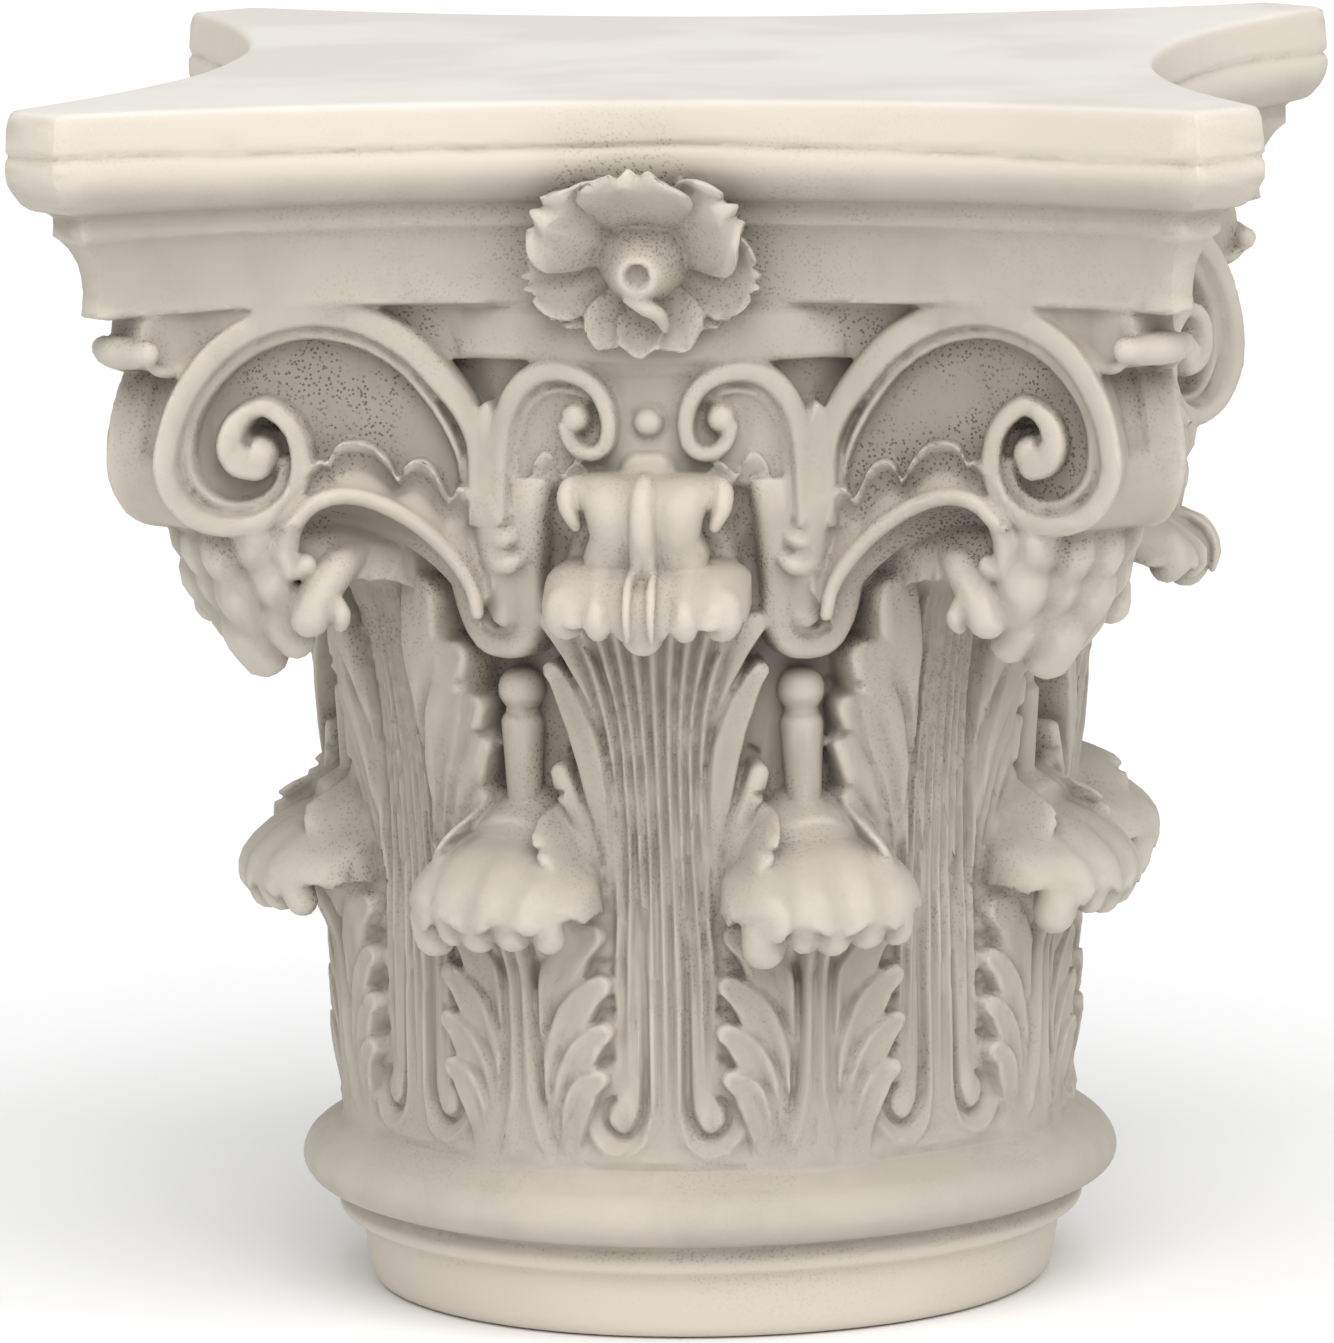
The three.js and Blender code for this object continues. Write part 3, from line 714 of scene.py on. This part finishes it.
def tall_hood(skins):
    """The mid-side leaf's curled tip in two tiers, with round lobes under the lower one."""
    one = Skins()
    hood(one, [(140, 300), (150, 305), (162, 307.5), (175, 306), (187, 301), (196, 293), (198.5, 285),
               (196, 279)],
         [30, 35, 38, 39, 39, 39, 38, 36], [-0.56, -0.3, 0.3, 0.56],
         [0.1, 0.05, 0.04, -0.04, -0.04, 0.04, 0.05, 0.1],
         [18, 20, 20, 17, 15, 13, 11, 9], side_roll=7, crease=2.2, notch=0.05)
    lobes = ((-30, 8.4, 277), (-16, 5.6, 278), (0, 9.4, 272), (16, 5.6, 278), (30, 8.4, 277))
    for across, size, low in lobes:
        sink = 4 * (across / 30) ** 4
        spots = [(182, 297, 0.95), (200.6 - size, 288, 1), (199 - size, low + size, 1)]
        line = [polar(math.degrees(across * wide / 190), r - sink, z) for r, z, wide in spots]
        one.finger(line, [size * 0.6, size, size * 0.88], around=20)
    for side in (-1, 1):
        spots = ((184, 304), (196.6, 298), (201.4, 288), (200, 280))
        one.finger([polar(side * 1.3, r, z) for r, z in spots], [1.6, 1.9, 1.8, 1.2])
    hood(one, [(142, 330), (154, 337), (166, 339.5), (178, 337), (184.6, 328), (184.5, 316), (181, 303)],
         [28, 30, 31.5, 29, 23, 20.5, 25], [-0.3, 0.3], [0.02, 0, 0, 0.02], [16, 18, 18, 17, 16, 16, 14],
         side_roll=4, crease=1.4, notch=0.02)
    spots = ((164, 337), (179, 334), (184.2, 324), (184.2, 313), (182, 302))
    one.finger([polar(0, r, z) for r, z in spots], [4, 4.8, 5.2, 5.2, 5.2], around=20)
    for side in (-1, 1):
        spots = ((8.4, 170, 336), (9.4, 175, 334), (9.4, 178, 328), (8.4, 178, 320))
        one.finger([polar(side * bearing, r, z) for bearing, r, z in spots], [3, 4.2, 3.8, 2.4])
    skins.copies(one, EVERY_SIDE)


def corner_tip(skins):
    """The corner leaf's tip: three tiers of rounded fingers, with a curled lobe at each side."""
    one = Skins()
    hood(one, [(138, 300), (155, 309), (174, 316), (195, 318.6), (212, 314.5), (222, 304), (224, 294)],
         [28, 32, 34, 33, 31, 30, 27], [-0.5, 0.0, 0.5], [0.08, 0.02, 0, 0.02, 0.08],
         [20, 20, 20, 21, 19, 16, 12], side_roll=9, crease=2.0, notch=0.04)
    tiers = ((221, 281, 24, 3, 10.6), (231, 297, 29, 4, 9.4), (238, 311, 27, 4, 8.8))
    for radius, z, reach, count, size in tiers:
        for k in range(count):
            across = (k - (count - 1) / 2) * 2 * reach / count
            turn = math.degrees(across / radius)
            sink = 7 * (across / reach) ** 2
            high = z + 2.6 * math.cos(2.4 * k + radius) + 3 * (across / reach) ** 2
            girth = size * (1 + 0.12 * math.sin(3.1 * k + z))
            line = [polar(turn * 0.84, radius - 26, high + 11),
                    polar(turn * 0.94, radius - 9 - sink, high + 8),
                    polar(turn, radius - sink - girth * 0.5, high - 1),
                    polar(turn, radius - 11 - sink, high - 11)]
            one.finger(line, [girth * 0.9, girth * 1.02, girth * 1.05, girth * 0.84], around=18)
    for side in (-1, 1):
        spots = ((8.4, 190, 306), (9.0, 202, 301), (8.8, 210, 293), (8.2, 213, 284))
        one.finger([polar(side * bearing, r, z) for bearing, r, z in spots], [6, 7.6, 8.2, 8], around=18)
        spots = ((10.3, 208, 291), (10.8, 206, 284), (9.9, 203, 280))
        one.finger([polar(side * bearing, r, z) for bearing, r, z in spots], [3.2, 4, 2.8])
    skins.copies(one, EVERY_CORNER)


# ---------------------------------------------------------------- stalks, sheaths, rolls, flowers

def stalk(skins):
    """The stalk between two tall leaves, with its collar and the ball on top."""
    one = Skins()
    stem = [(6.8, 186), (6.6, 196), (6.8, 212), (7.8, 230)]
    collar = [(8.4, 239.0), (7.8, 241), (6, 242.2), (6.8, 243.4)]
    ball = [(9.2 * math.cos(a), 251.4 + 9.0 * math.sin(a)) for a in np.radians(np.arange(-52, 76, 10))]
    one.tube(turned(stem + collar + ball, 28, STALK_OUT))
    skins.copies(one, EVERY_LOW_LEAF)


def strip(surface, lower, upper, proud, depth, rows=30, columns=120):
    """A curled leaf between a lower and an upper edge drawn on a surface: front and back grids.

    proud holds how far it stands out: a row for each even step from the lower edge to the upper.
    """
    low = smooth_path(lower, columns)
    high = smooth_path(upper, columns)
    v = np.linspace(0, 1, rows)
    flat = low[None] * (1 - v[:, None, None]) + high[None] * v[:, None, None]
    lift = np.array([spread(row, columns) for row in proud])
    height = np.stack([part_way(lift[:, k], v) for k in range(columns)], axis=1)
    front = surface(flat[..., 0], flat[..., 1], height)
    return front, surface(flat[..., 0], flat[..., 1], height - depth)


STEM_ARCH = [(66, 284), (69, 296), (79, 310), (91, 320.6), (104, 327.6), (115, 330), (125, 327.4),
             (136, 318)]


def volute_sheath(skins):
    """The scalloped leaf under the volute, the rib along its arch with its hook, and what backs them."""
    one = Skins()
    scallops = [(60, 292), (61.4, 306), (65.4, 321), (69, 329), (73, 332), (75.4, 327), (78, 330),
                (82.6, 339.4), (88.4, 342.4), (93, 339), (94.6, 334), (98, 341), (104, 348), (111, 350),
                (117, 348.4), (120.4, 342), (123, 343.4), (128, 338), (134, 331), (141, 322)]
    curl = [[3, 4, 5, 5, 5], [1, -1, -2, -2, 0], [-1, -6, -8, -8, -4], [0, -5, -7, -7, -3],
            [1.6, 0.6, 0.6, 0.6, 0.6]]
    one.sheet(*strip(on_volute_face, STEM_ARCH, scallops, curl, 26))
    rib = smooth_path(STEM_ARCH[:-1] + [(132, 321)], 12)
    one.finger([on_volute_face(x, z, 0.6) for x, z in rib], [2.6, 3.2, 3.4, 3.4, 3.6])
    hook = ((127, 326, -1), (133, 320, -2.4), (136, 311, -3.4), (134.6, 303, -4))
    one.finger([on_volute_face(*spot) for spot in hook], [3.4, 4.6, 5.6, 5], around=20)
    one.finger([on_volute_face(131.6, 303, -4), on_volute_face(129, 304, -3)], [4.8, 4.6], around=20)
    wing_low = [(56, 380), (76, 380), (96, 384), (118, 392)]
    wing_high = [(56, 408), (76, 408), (96, 408), (118, 408)]
    one.sheet(*strip(on_volute_face, wing_low, wing_high, [[-4, -7, -9, -9], [-4, -7, -9, -9]], 30))
    below = [(x + 1 + 3 * k / 7, z - 15 + 3 * k / 7) for k, (x, z) in enumerate(STEM_ARCH)]
    one.sheet(*strip(on_volute_face, below, STEM_ARCH, [[-19], [-17], [-12], [-5], [1]], 24))
    skins.copies(one, EVERY_SIDE, mirror=True)


def scroll_sheath(skins):
    """The scalloped leaf under the small scroll, with the folds where the two leaves part."""
    one = Skins()
    inner = [(60, 282), (48, 281), (37, 286), (28, 296), (22, 310), (18, 328)]
    crown = [(63, 294), (61, 306), (58, 320), (55, 331), (51.6, 337), (48.4, 332.6), (46.4, 335),
             (44.6, 342), (40, 346.4), (36, 343), (34, 336.8), (31, 340), (27, 343), (22.4, 339)]
    curl = [[-8, -15, -18, -16, -10], [-9, -14, -16, -13, -8], [-8, -9, -9, -7, -4], [-4, -2, -1, 0, 1]]
    one.sheet(*strip(on_lip, inner, crown, curl, 22))
    one.finger([on_lip(62, 284, -12), on_lip(62.5, 302, -8), on_lip(63, 326, -4)], [7, 9, 8])
    for x, z in ((54.6, 323), (52, 313.6), (50, 304.4)):
        fold = [on_lip(62, z - 2, -3), on_lip(x + 4, z - 1, -1), on_lip(x, z + 1.6, -3)]
        one.finger(fold, [5, 4.4, 2.4])
    skins.copies(one, EVERY_SIDE, mirror=True)


def rows_across(rows):
    """Rows of five points across a strip, from each row's (distance out, height, half width)."""
    shares = (-1, -0.5, 0, 0.5, 1)
    return np.array([[(share * half, -out, z) for share in shares] for out, z, half in rows])


def corner_rolls(skins):
    """The small roll with its tail that carries each corner of the slab."""
    one = Skins()
    one.finger([(-9, -273, 387.4), (0, -275, 388), (9, -273, 387.4)], [5.6, 6.6, 5.6], around=24)
    top = ((271, 399, 10), (263, 407, 12), (250, 409, 14), (240, 409, 20), (230, 409, 26))
    under = ((273, 383, 10), (264, 380, 12), (252, 380, 14), (240, 384, 20), (230, 386, 26))
    one.sheet(rows_across(top), rows_across(under))
    for side in (-1, 1):
        one.finger([(side * 9, -273, 387.4), (side * 14, -271.6, 388)], [5.2, 4.8], around=20)
        tail = ((13.4, -271, 384.4), (13, -265, 380.8), (13.6, -257, 380.8), (15.4, -249, 385.4),
                (18, -240, 394))
        one.finger([(side * x, y, z) for x, y, z in tail], [2, 2.5, 2.7, 2.7, 2.2])
    skins.copies(one, EVERY_CORNER)


def petal(skins, turn, reach, half, near, far, cup, ruffles=0, ruffle=0.0, curl=0.0, root=4.0):
    """One petal: turned from upright, cupped across, ruffled and curled in at its rim if asked."""
    u = np.linspace(-1, 1, 41)[None, :]
    v = np.linspace(0, 1, 26)[:, None]
    angle = math.radians(turn)
    wave = np.cos(2 * np.pi * ruffles * (u + 1) / 2) if ruffles else np.zeros_like(u)
    rounded = np.sqrt(np.clip(1 - np.clip((v - 0.62) / 0.4, 0, 1) ** 2 * 0.9, 0, 1))
    ahead = root + (reach - root) * v * (1 - 0.08 * (u**2) * v + 0.05 * wave * v)
    side = u * (half * (0.3 + 0.7 * ramp(v, 0, 0.7)) * rounded)
    proud = near + (far - near) * v + cup * u**2 * ramp(v, 0.1, 0.8)
    proud = proud + ruffle * wave * v**1.4 - curl * np.clip(v - 0.8, 0, 1) * 5
    x = ahead * math.sin(angle) + side * math.cos(angle)
    z = FLOWER_HEIGHT + ahead * math.cos(angle) - side * math.sin(angle)

    def place(lift):
        return np.stack([x, -(FLOWER_OUT + lift), z], axis=-1)

    skins.sheet(place(proud), place(proud - 5 - 10 * (1 - v)))


def flower(skins):
    """The flower at mid-side: three big petals above, smaller ones round below, and a blunt horn."""
    one = Skins()
    petal(one, -100, 44, 17, 12, 27, 3, 3, 1.5)
    petal(one, 99, 44, 17, 12, 27, 3, 3, 1.5)
    petal(one, -122, 40, 10, 11, 22, 3, 2, 1.0)
    petal(one, 124, 38, 10, 11, 22, 3, 2, 1.0)
    petal(one, -151, 37, 10, 14, 26, 3.4)
    petal(one, 153, 37, 12, 14, 26, 3.4)
    petal(one, -178, 36, 9.4, 15, 27, 3.4)
    petal(one, -60, 43, 20, 12, 52, 1, 2.5, 1.8, 8)
    petal(one, 61, 43, 20, 12, 52, 1, 2.5, 1.8, 8)
    petal(one, 0, 36, 22, 14, 62, 1, 2.5, 1.6, 9)
    angle = np.linspace(0, 2 * np.pi, 32, endpoint=False)
    horn = ((10, 19), (20, 18), (29, 15), (37, 11.2), (42.4, 8), (43.8, 6.4), (43.4, 5.0), (40.6, 3.8),
            (39.6, 1.6))
    rings = []
    for out, radius in horn:
        ring = [radius * np.cos(angle), np.full(32, -(149 + out)), 427 - 0.27 * out + radius * np.sin(angle)]
        rings.append(np.stack(ring, axis=1))
    one.tube(np.array(rings))
    one.finger([(-3.5, -188, 407), (2, -188, 404), (7, -184, 400.6), (9, -179, 395)], [2.6, 3.4, 3, 2])
    skins.copies(one, EVERY_SIDE)


# ---------------------------------------------------------------- the whole casting

def hand_made(points):
    """Small slow wanderings, so that no two repeats are quite alike."""
    x, y, z = points.T / 60
    level = points[:, 2]
    between_ends = np.clip(level / 60, 0, 1) * np.clip((470 - level) / 60, 0, 1)
    out = points.copy()
    out[:, 0] += 0.5 * np.sin(1.3 * z + 0.9 * y + 1) + 0.3 * np.sin(2.9 * y - 1.7 * z)
    out[:, 1] += 0.5 * np.sin(1.1 * z - 1.2 * x + 2) + 0.3 * np.sin(2.3 * x + 2.1 * z)
    out[:, 2] += (0.5 * np.sin(1.4 * x + 0.8 * y) + 0.3 * np.sin(2.7 * y + 1.3 * x)) * between_ends
    return out


def casting():
    """Every part of the capital as closed skins in one mesh."""
    skins = Skins()
    parts = (foot, slab, bell, upper_bell, low_hood, tall_hood, corner_tip, stalk, volute_sheath,
             scroll_sheath, corner_rolls, flower, corner_scroll)
    for part in parts:
        part(skins)
    return skins.mesh("capital_cast", hand_made)


def work_in(piece):
    """Works the piece's modifiers into its mesh."""
    made = bpy.data.meshes.new_from_object(piece.evaluated_get(bpy.context.evaluated_depsgraph_get()))
    piece.modifiers.clear()
    old = piece.data
    piece.data = made
    bpy.data.meshes.remove(old)


def shade_smooth(piece):
    piece.data.polygons.foreach_set("use_smooth", np.ones(len(piece.data.polygons), bool))


def fuse(piece):
    """Turns the piece's overlapping skins into one, and takes the steps off it."""
    one_skin = piece.modifiers.new("one skin", "REMESH")
    one_skin.mode = "VOXEL"
    one_skin.voxel_size = FINEST_VOXEL * MM
    soften = piece.modifiers.new("soften", "SMOOTH")
    soften.factor = 0.35
    soften.iterations = 1
    work_in(piece)
    shade_smooth(piece)


def thin_out(piece):
    """Thins the piece to its triangle limit, and keeps the fine mesh's shading."""
    fine = bpy.data.objects.new("fine", piece.data.copy())
    bpy.context.scene.collection.objects.link(fine)
    fewer = piece.modifiers.new("thin out", "DECIMATE")
    fewer.ratio = min(1.0, MOST_TRIANGLES / (2 * len(piece.data.polygons)))
    work_in(piece)
    shade_smooth(piece)
    shading = piece.modifiers.new("fine shading", "DATA_TRANSFER")
    shading.object = fine
    shading.use_loop_data = True
    shading.data_types_loops = {"CUSTOM_NORMAL"}
    shading.loop_mapping = "POLYINTERP_NEAREST"
    work_in(piece)
    fine_mesh = fine.data
    bpy.data.objects.remove(fine)
    bpy.data.meshes.remove(fine_mesh)


def build_capital():
    piece = bpy.data.objects.new("capital_cast", casting())
    bpy.context.scene.collection.objects.link(piece)
    fuse(piece)
    thin_out(piece)
    return piece


# ---------------------------------------------------------------- finish, with its lengths in metres

CREAM = (0.485, 0.44, 0.374, 1)
DEEP_CREAM = (0.43, 0.39, 0.33, 1)
MOTTLED_CREAM = (0.36, 0.324, 0.273, 1)
# Painted light: paler colours for the foot and the slab, which are lit more brightly than the bell between
# them.
FOOT_AND_SLAB_PAINTED_LIGHT = (0.66, 0.60, 0.51, 1)
DEEP_FOOT_AND_SLAB_PAINTED_LIGHT = (0.58, 0.53, 0.45, 1)
# Painted light: paler colours for upward faces on the slab's top, where the light falls most strongly.
TOP_PAINTED_LIGHT = (0.73, 0.705, 0.655, 1)
DEEP_TOP_PAINTED_LIGHT = (0.67, 0.64, 0.585, 1)
# Edge wear and painted highlight: a lighter colour for convex edges.
EDGE_WEAR_AND_HIGHLIGHT = (0.66, 0.605, 0.52, 1)
# Partly a real grey wash and partly painted shade, laid in recesses, creases and under the leaves.
WASH_AND_SHADE_GREY = (0.205, 0.18, 0.15, 1)
# Painted shade inside the pinholes.
PORE_SHADE = (0.12, 0.10, 0.08, 1)


class Value:
    """A shader socket, so that sums on it read as sums."""

    def __init__(self, nodes, socket):
        self.nodes = nodes
        self.socket = socket

    def __add__(self, other):
        return self.nodes.work_out("ADD", self, other)

    def __radd__(self, other):
        return self.nodes.work_out("ADD", other, self)

    def __sub__(self, other):
        return self.nodes.work_out("SUBTRACT", self, other)

    def __rsub__(self, other):
        return self.nodes.work_out("SUBTRACT", other, self)

    def __mul__(self, other):
        return self.nodes.work_out("MULTIPLY", self, other)

    def __rmul__(self, other):
        return self.nodes.work_out("MULTIPLY", other, self)

    def __pow__(self, other):
        return self.nodes.work_out("POWER", self, other)


class Nodes:
    """The node tree of one material."""

    def __init__(self, material):
        material.use_nodes = True
        self.tree = material.node_tree
        self.shader = self.tree.nodes["Principled BSDF"]

    def make(self, kind, settings, inputs, output=0):
        """A node of any kind: its settings first, then the values or links of its sockets."""
        node = self.tree.nodes.new(kind)
        for name, value in settings.items():
            setattr(node, name, value)
        for name, value in inputs.items():
            self.feed(node.inputs[name], value)
        return Value(self, node.outputs[output])

    def feed(self, socket, value):
        if isinstance(value, Value):
            self.tree.links.new(value.socket, socket)
        else:
            socket.default_value = value

    def work_out(self, operation, first, second):
        return self.make("ShaderNodeMath", {"operation": operation}, {0: first, 1: second})

    def ramp(self, value, low, high):
        """0 below low, 1 above high, and smooth between."""
        inputs = {"Value": value, "From Min": low, "From Max": high}
        return self.make("ShaderNodeMapRange", {"interpolation_type": "SMOOTHSTEP"}, inputs)

    def largest(self, first, second):
        """The larger of two numbers, signs left aside."""
        return self.work_out("MAXIMUM", first * first, second * second) ** 0.5

    def smallest(self, first, second):
        """The smaller of two numbers, signs left aside."""
        return self.work_out("MINIMUM", first * first, second * second) ** 0.5

    def blend(self, share, first, second):
        """One colour turning into another as share goes from 0 to 1."""
        inputs = {"Factor": share, 6: first, 7: second}
        return self.make("ShaderNodeMix", {"data_type": "RGBA"}, inputs, output=2)

    def part(self, vector, axis):
        return self.make("ShaderNodeSeparateXYZ", {}, {"Vector": vector}, output=axis)

    def noise(self, place, scale, detail, rough=0.5):
        inputs = {"Vector": place, "Scale": scale, "Detail": detail, "Roughness": rough}
        return self.make("ShaderNodeTexNoise", {}, inputs)

    def openness(self, reach):
        """How open the surface is to the air within reach: 1 in the open, less in a hollow."""
        settings = {"samples": 3, "only_local": True}
        return self.make("ShaderNodeAmbientOcclusion", settings, {"Distance": reach}, output="AO")


def beside_leaves(nodes, x, y, height):
    """1 on the bell's surface between and under the leaves."""
    radius = (x * x + y * y) ** 0.5
    on_leaves = nodes.ramp(height, 0.064, 0.08) * (1 - nodes.ramp(height, 0.31, 0.335))
    return (1 - nodes.ramp(radius, 0.146, 0.178)) * on_leaves


def volute_web(nodes, x, y, height):
    """1 on the sunk webs of the volutes, behind their shared faces."""
    ahead = nodes.largest(x, y)
    beside = nodes.smallest(x, y)
    behind_face = beside * beside * (FACE_BOW / FACE_REACH**2 / MM) + FACE_OUT * MM - ahead
    web = nodes.ramp(behind_face, 0.004, 0.0085)
    web = web * nodes.ramp(height, 0.3, 0.32) * (1 - nodes.ramp(height, 0.392, 0.402))
    return web * nodes.ramp(beside, 0.055, 0.07) * (1 - nodes.ramp(beside, 0.155, 0.17))


def stone_with_painted_light(nodes, height, upward, pointed, clouds, mottle, above_foot):
    """The stone before its wash and painted shade: cream, with painted light making the foot, the slab and
    the upward faces paler, and edges lighter as wear and painted highlight.
    """
    unshaded_colour = nodes.blend(nodes.ramp(clouds, 0.35, 0.65), CREAM, DEEP_CREAM)
    unshaded_colour = nodes.blend(nodes.ramp(mottle, 0.4, 0.75) * 0.3, unshaded_colour, MOTTLED_CREAM)
    # Painted light: the foot and the slab are made paler.
    foot_and_slab_painted_light = 1 - above_foot * (1 - nodes.ramp(height, 0.446, 0.458))
    unshaded_colour = nodes.blend(foot_and_slab_painted_light, unshaded_colour, nodes.blend(clouds, FOOT_AND_SLAB_PAINTED_LIGHT, DEEP_FOOT_AND_SLAB_PAINTED_LIGHT))
    # Painted light: faces turned up on the slab's top are made paler.
    top_painted_light = nodes.ramp(upward, 0.3, 0.95) * nodes.ramp(height, 0.462, 0.478)
    unshaded_colour = nodes.blend(top_painted_light, unshaded_colour, nodes.blend(nodes.ramp(clouds, 0.4, 0.6), TOP_PAINTED_LIGHT, DEEP_TOP_PAINTED_LIGHT))
    # Convex edges are made lighter, partly as wear and partly as painted highlight.
    return nodes.blend(nodes.ramp(pointed, 0.508, 0.56) * 0.5, unshaded_colour, EDGE_WEAR_AND_HIGHLIGHT)


def cast_stone():
    """Cream resin stone with a grey wash and painted shade in the hollows, painted light making the foot,
    the slab and the upward faces paler, edges lighter as wear and painted highlight, and pores with painted
    shade.
    """
    material = bpy.data.materials.new("cast_stone")
    nodes = Nodes(material)
    place = nodes.make("ShaderNodeTexCoord", {}, {}, output="Object")
    x, y, height = (nodes.part(place, axis) for axis in "XYZ")
    upward = nodes.part(nodes.make("ShaderNodeNewGeometry", {}, {}, output="Normal"), "Z")
    pointed = nodes.make("ShaderNodeNewGeometry", {}, {}, output="Pointiness")
    clouds = nodes.noise(place, 9, 3)
    mottle = nodes.noise(place, 60, 4, 0.6)
    grain = nodes.noise(place, 900, 2)

    # Painted shade, partly a real grey wash: ambient occlusion darkens hollows and sheltered places, and
    # creases, the sunk volute webs and the bell between and under the leaves are darkened too.
    hollow = 1 - nodes.ramp(nodes.openness(0.008), 0.35, 0.95)
    sheltered = 1 - nodes.ramp(nodes.openness(0.09), 0.3, 0.88)
    crease = 1 - nodes.ramp(pointed, 0.42, 0.497)
    web = volute_web(nodes, x, y, height)
    above_foot = nodes.ramp(height, 0.026, 0.04)
    wash_and_shade = hollow * 0.42 + sheltered * 0.4 + crease * 0.26 + web * 0.36
    # The wash and painted shade are weakened on the foot, which acts as painted light there.
    wash_and_shade = (wash_and_shade + beside_leaves(nodes, x, y, height) * 0.08) * (above_foot * 0.75 + 0.25)
    wash_and_shade = nodes.work_out("MINIMUM", wash_and_shade, 0.82)
    unshaded_colour = stone_with_painted_light(nodes, height, upward, pointed, clouds, mottle, above_foot)
    washed_and_shaded = nodes.blend(wash_and_shade, unshaded_colour, WASH_AND_SHADE_GREY)

    pores = nodes.make("ShaderNodeTexVoronoi", {}, {"Vector": place, "Scale": 600, "Randomness": 1})
    where = nodes.ramp(nodes.noise(place, 20, 3, 0.7), 0.42, 0.58) * (0.05 + sheltered * 1.1 + web * 1.1)
    pit = (1 - nodes.ramp(pores, 0.18, 0.4)) * where
    relief = {"Height": grain * 0.12 + mottle * 0.5 - pit * 1.4, "Strength": 0.35, "Distance": 0.0006}
    # The pinholes are darkened with painted shade inside them, as well as sunk by the bump.
    nodes.feed(nodes.shader.inputs["Base Color"], nodes.blend(pit * 0.85, washed_and_shaded, PORE_SHADE))
    nodes.feed(nodes.shader.inputs["Roughness"], 0.5 + mottle * 0.2 + hollow * 0.1)
    nodes.feed(nodes.shader.inputs["Normal"], nodes.make("ShaderNodeBump", {}, relief))
    nodes.shader.inputs["Specular IOR Level"].default_value = 0.35
    return material


# ---------------------------------------------------------------- stage, in metres

FLOOR_WHITE = (0.93, 0.93, 0.93, 1)
ROOM_STRENGTH = 0.56
KEY_TOWARDS = (0.4, -1.55, 1.8)
KEY_WIDTH = 64
KEY_STRENGTH = 2.7
EYE = (0.467, -3.9858, 0.8405)
YAW_PITCH_ROLL = (6.88, 8.53, -0.88)
SENSOR = 36
LENS_IN_SENSORS = 7.731943


def stage():
    """A white floor, an even pale room and one broad soft light from the upper front."""
    bpy.ops.mesh.primitive_plane_add(size=30, location=(0, 0, 0))
    floor = bpy.context.object
    floor.name = "floor"
    material = bpy.data.materials.new("floor_white")
    nodes = Nodes(material)
    nodes.shader.inputs["Base Color"].default_value = FLOOR_WHITE
    nodes.shader.inputs["Roughness"].default_value = 0.9
    floor.data.materials.append(material)
    world = bpy.data.worlds.new("studio")
    bpy.context.scene.world = world
    world.use_nodes = True
    world.node_tree.nodes["Background"].inputs["Color"].default_value = (1, 1, 1, 1)
    world.node_tree.nodes["Background"].inputs["Strength"].default_value = ROOM_STRENGTH
    light = bpy.data.lights.new("key", "SUN")
    light.energy = KEY_STRENGTH
    light.angle = math.radians(KEY_WIDTH)
    lamp = bpy.data.objects.new("key", light)
    bpy.context.scene.collection.objects.link(lamp)
    lamp.rotation_euler = Vector(KEY_TOWARDS).to_track_quat("Z", "Y").to_euler()
    bpy.context.scene.view_settings.view_transform = "Standard"


def camera():
    """A long lens from the front, a little to the right and above."""
    yaw, pitch, roll = (math.radians(angle) for angle in YAW_PITCH_ROLL)
    ahead = Vector((-math.sin(yaw) * math.cos(pitch), math.cos(yaw) * math.cos(pitch), -math.sin(pitch)))
    right = Vector((math.cos(yaw), math.sin(yaw), 0))
    up = right.cross(ahead)
    across = math.cos(roll) * right + math.sin(roll) * up
    above = math.cos(roll) * up - math.sin(roll) * right
    data = bpy.data.cameras.new("camera")
    data.sensor_width = SENSOR
    data.lens = SENSOR * LENS_IN_SENSORS
    data.clip_end = 100
    eye = bpy.data.objects.new("camera", data)
    bpy.context.scene.collection.objects.link(eye)
    eye.matrix_world = Matrix.Translation(EYE) @ Matrix((across, above, -ahead)).transposed().to_4x4()
    bpy.context.scene.camera = eye


camera()
stage()
capital = build_capital()
capital.data.materials.clear()
capital.data.materials.append(cast_stone())
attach(capital, "root")
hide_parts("capital")
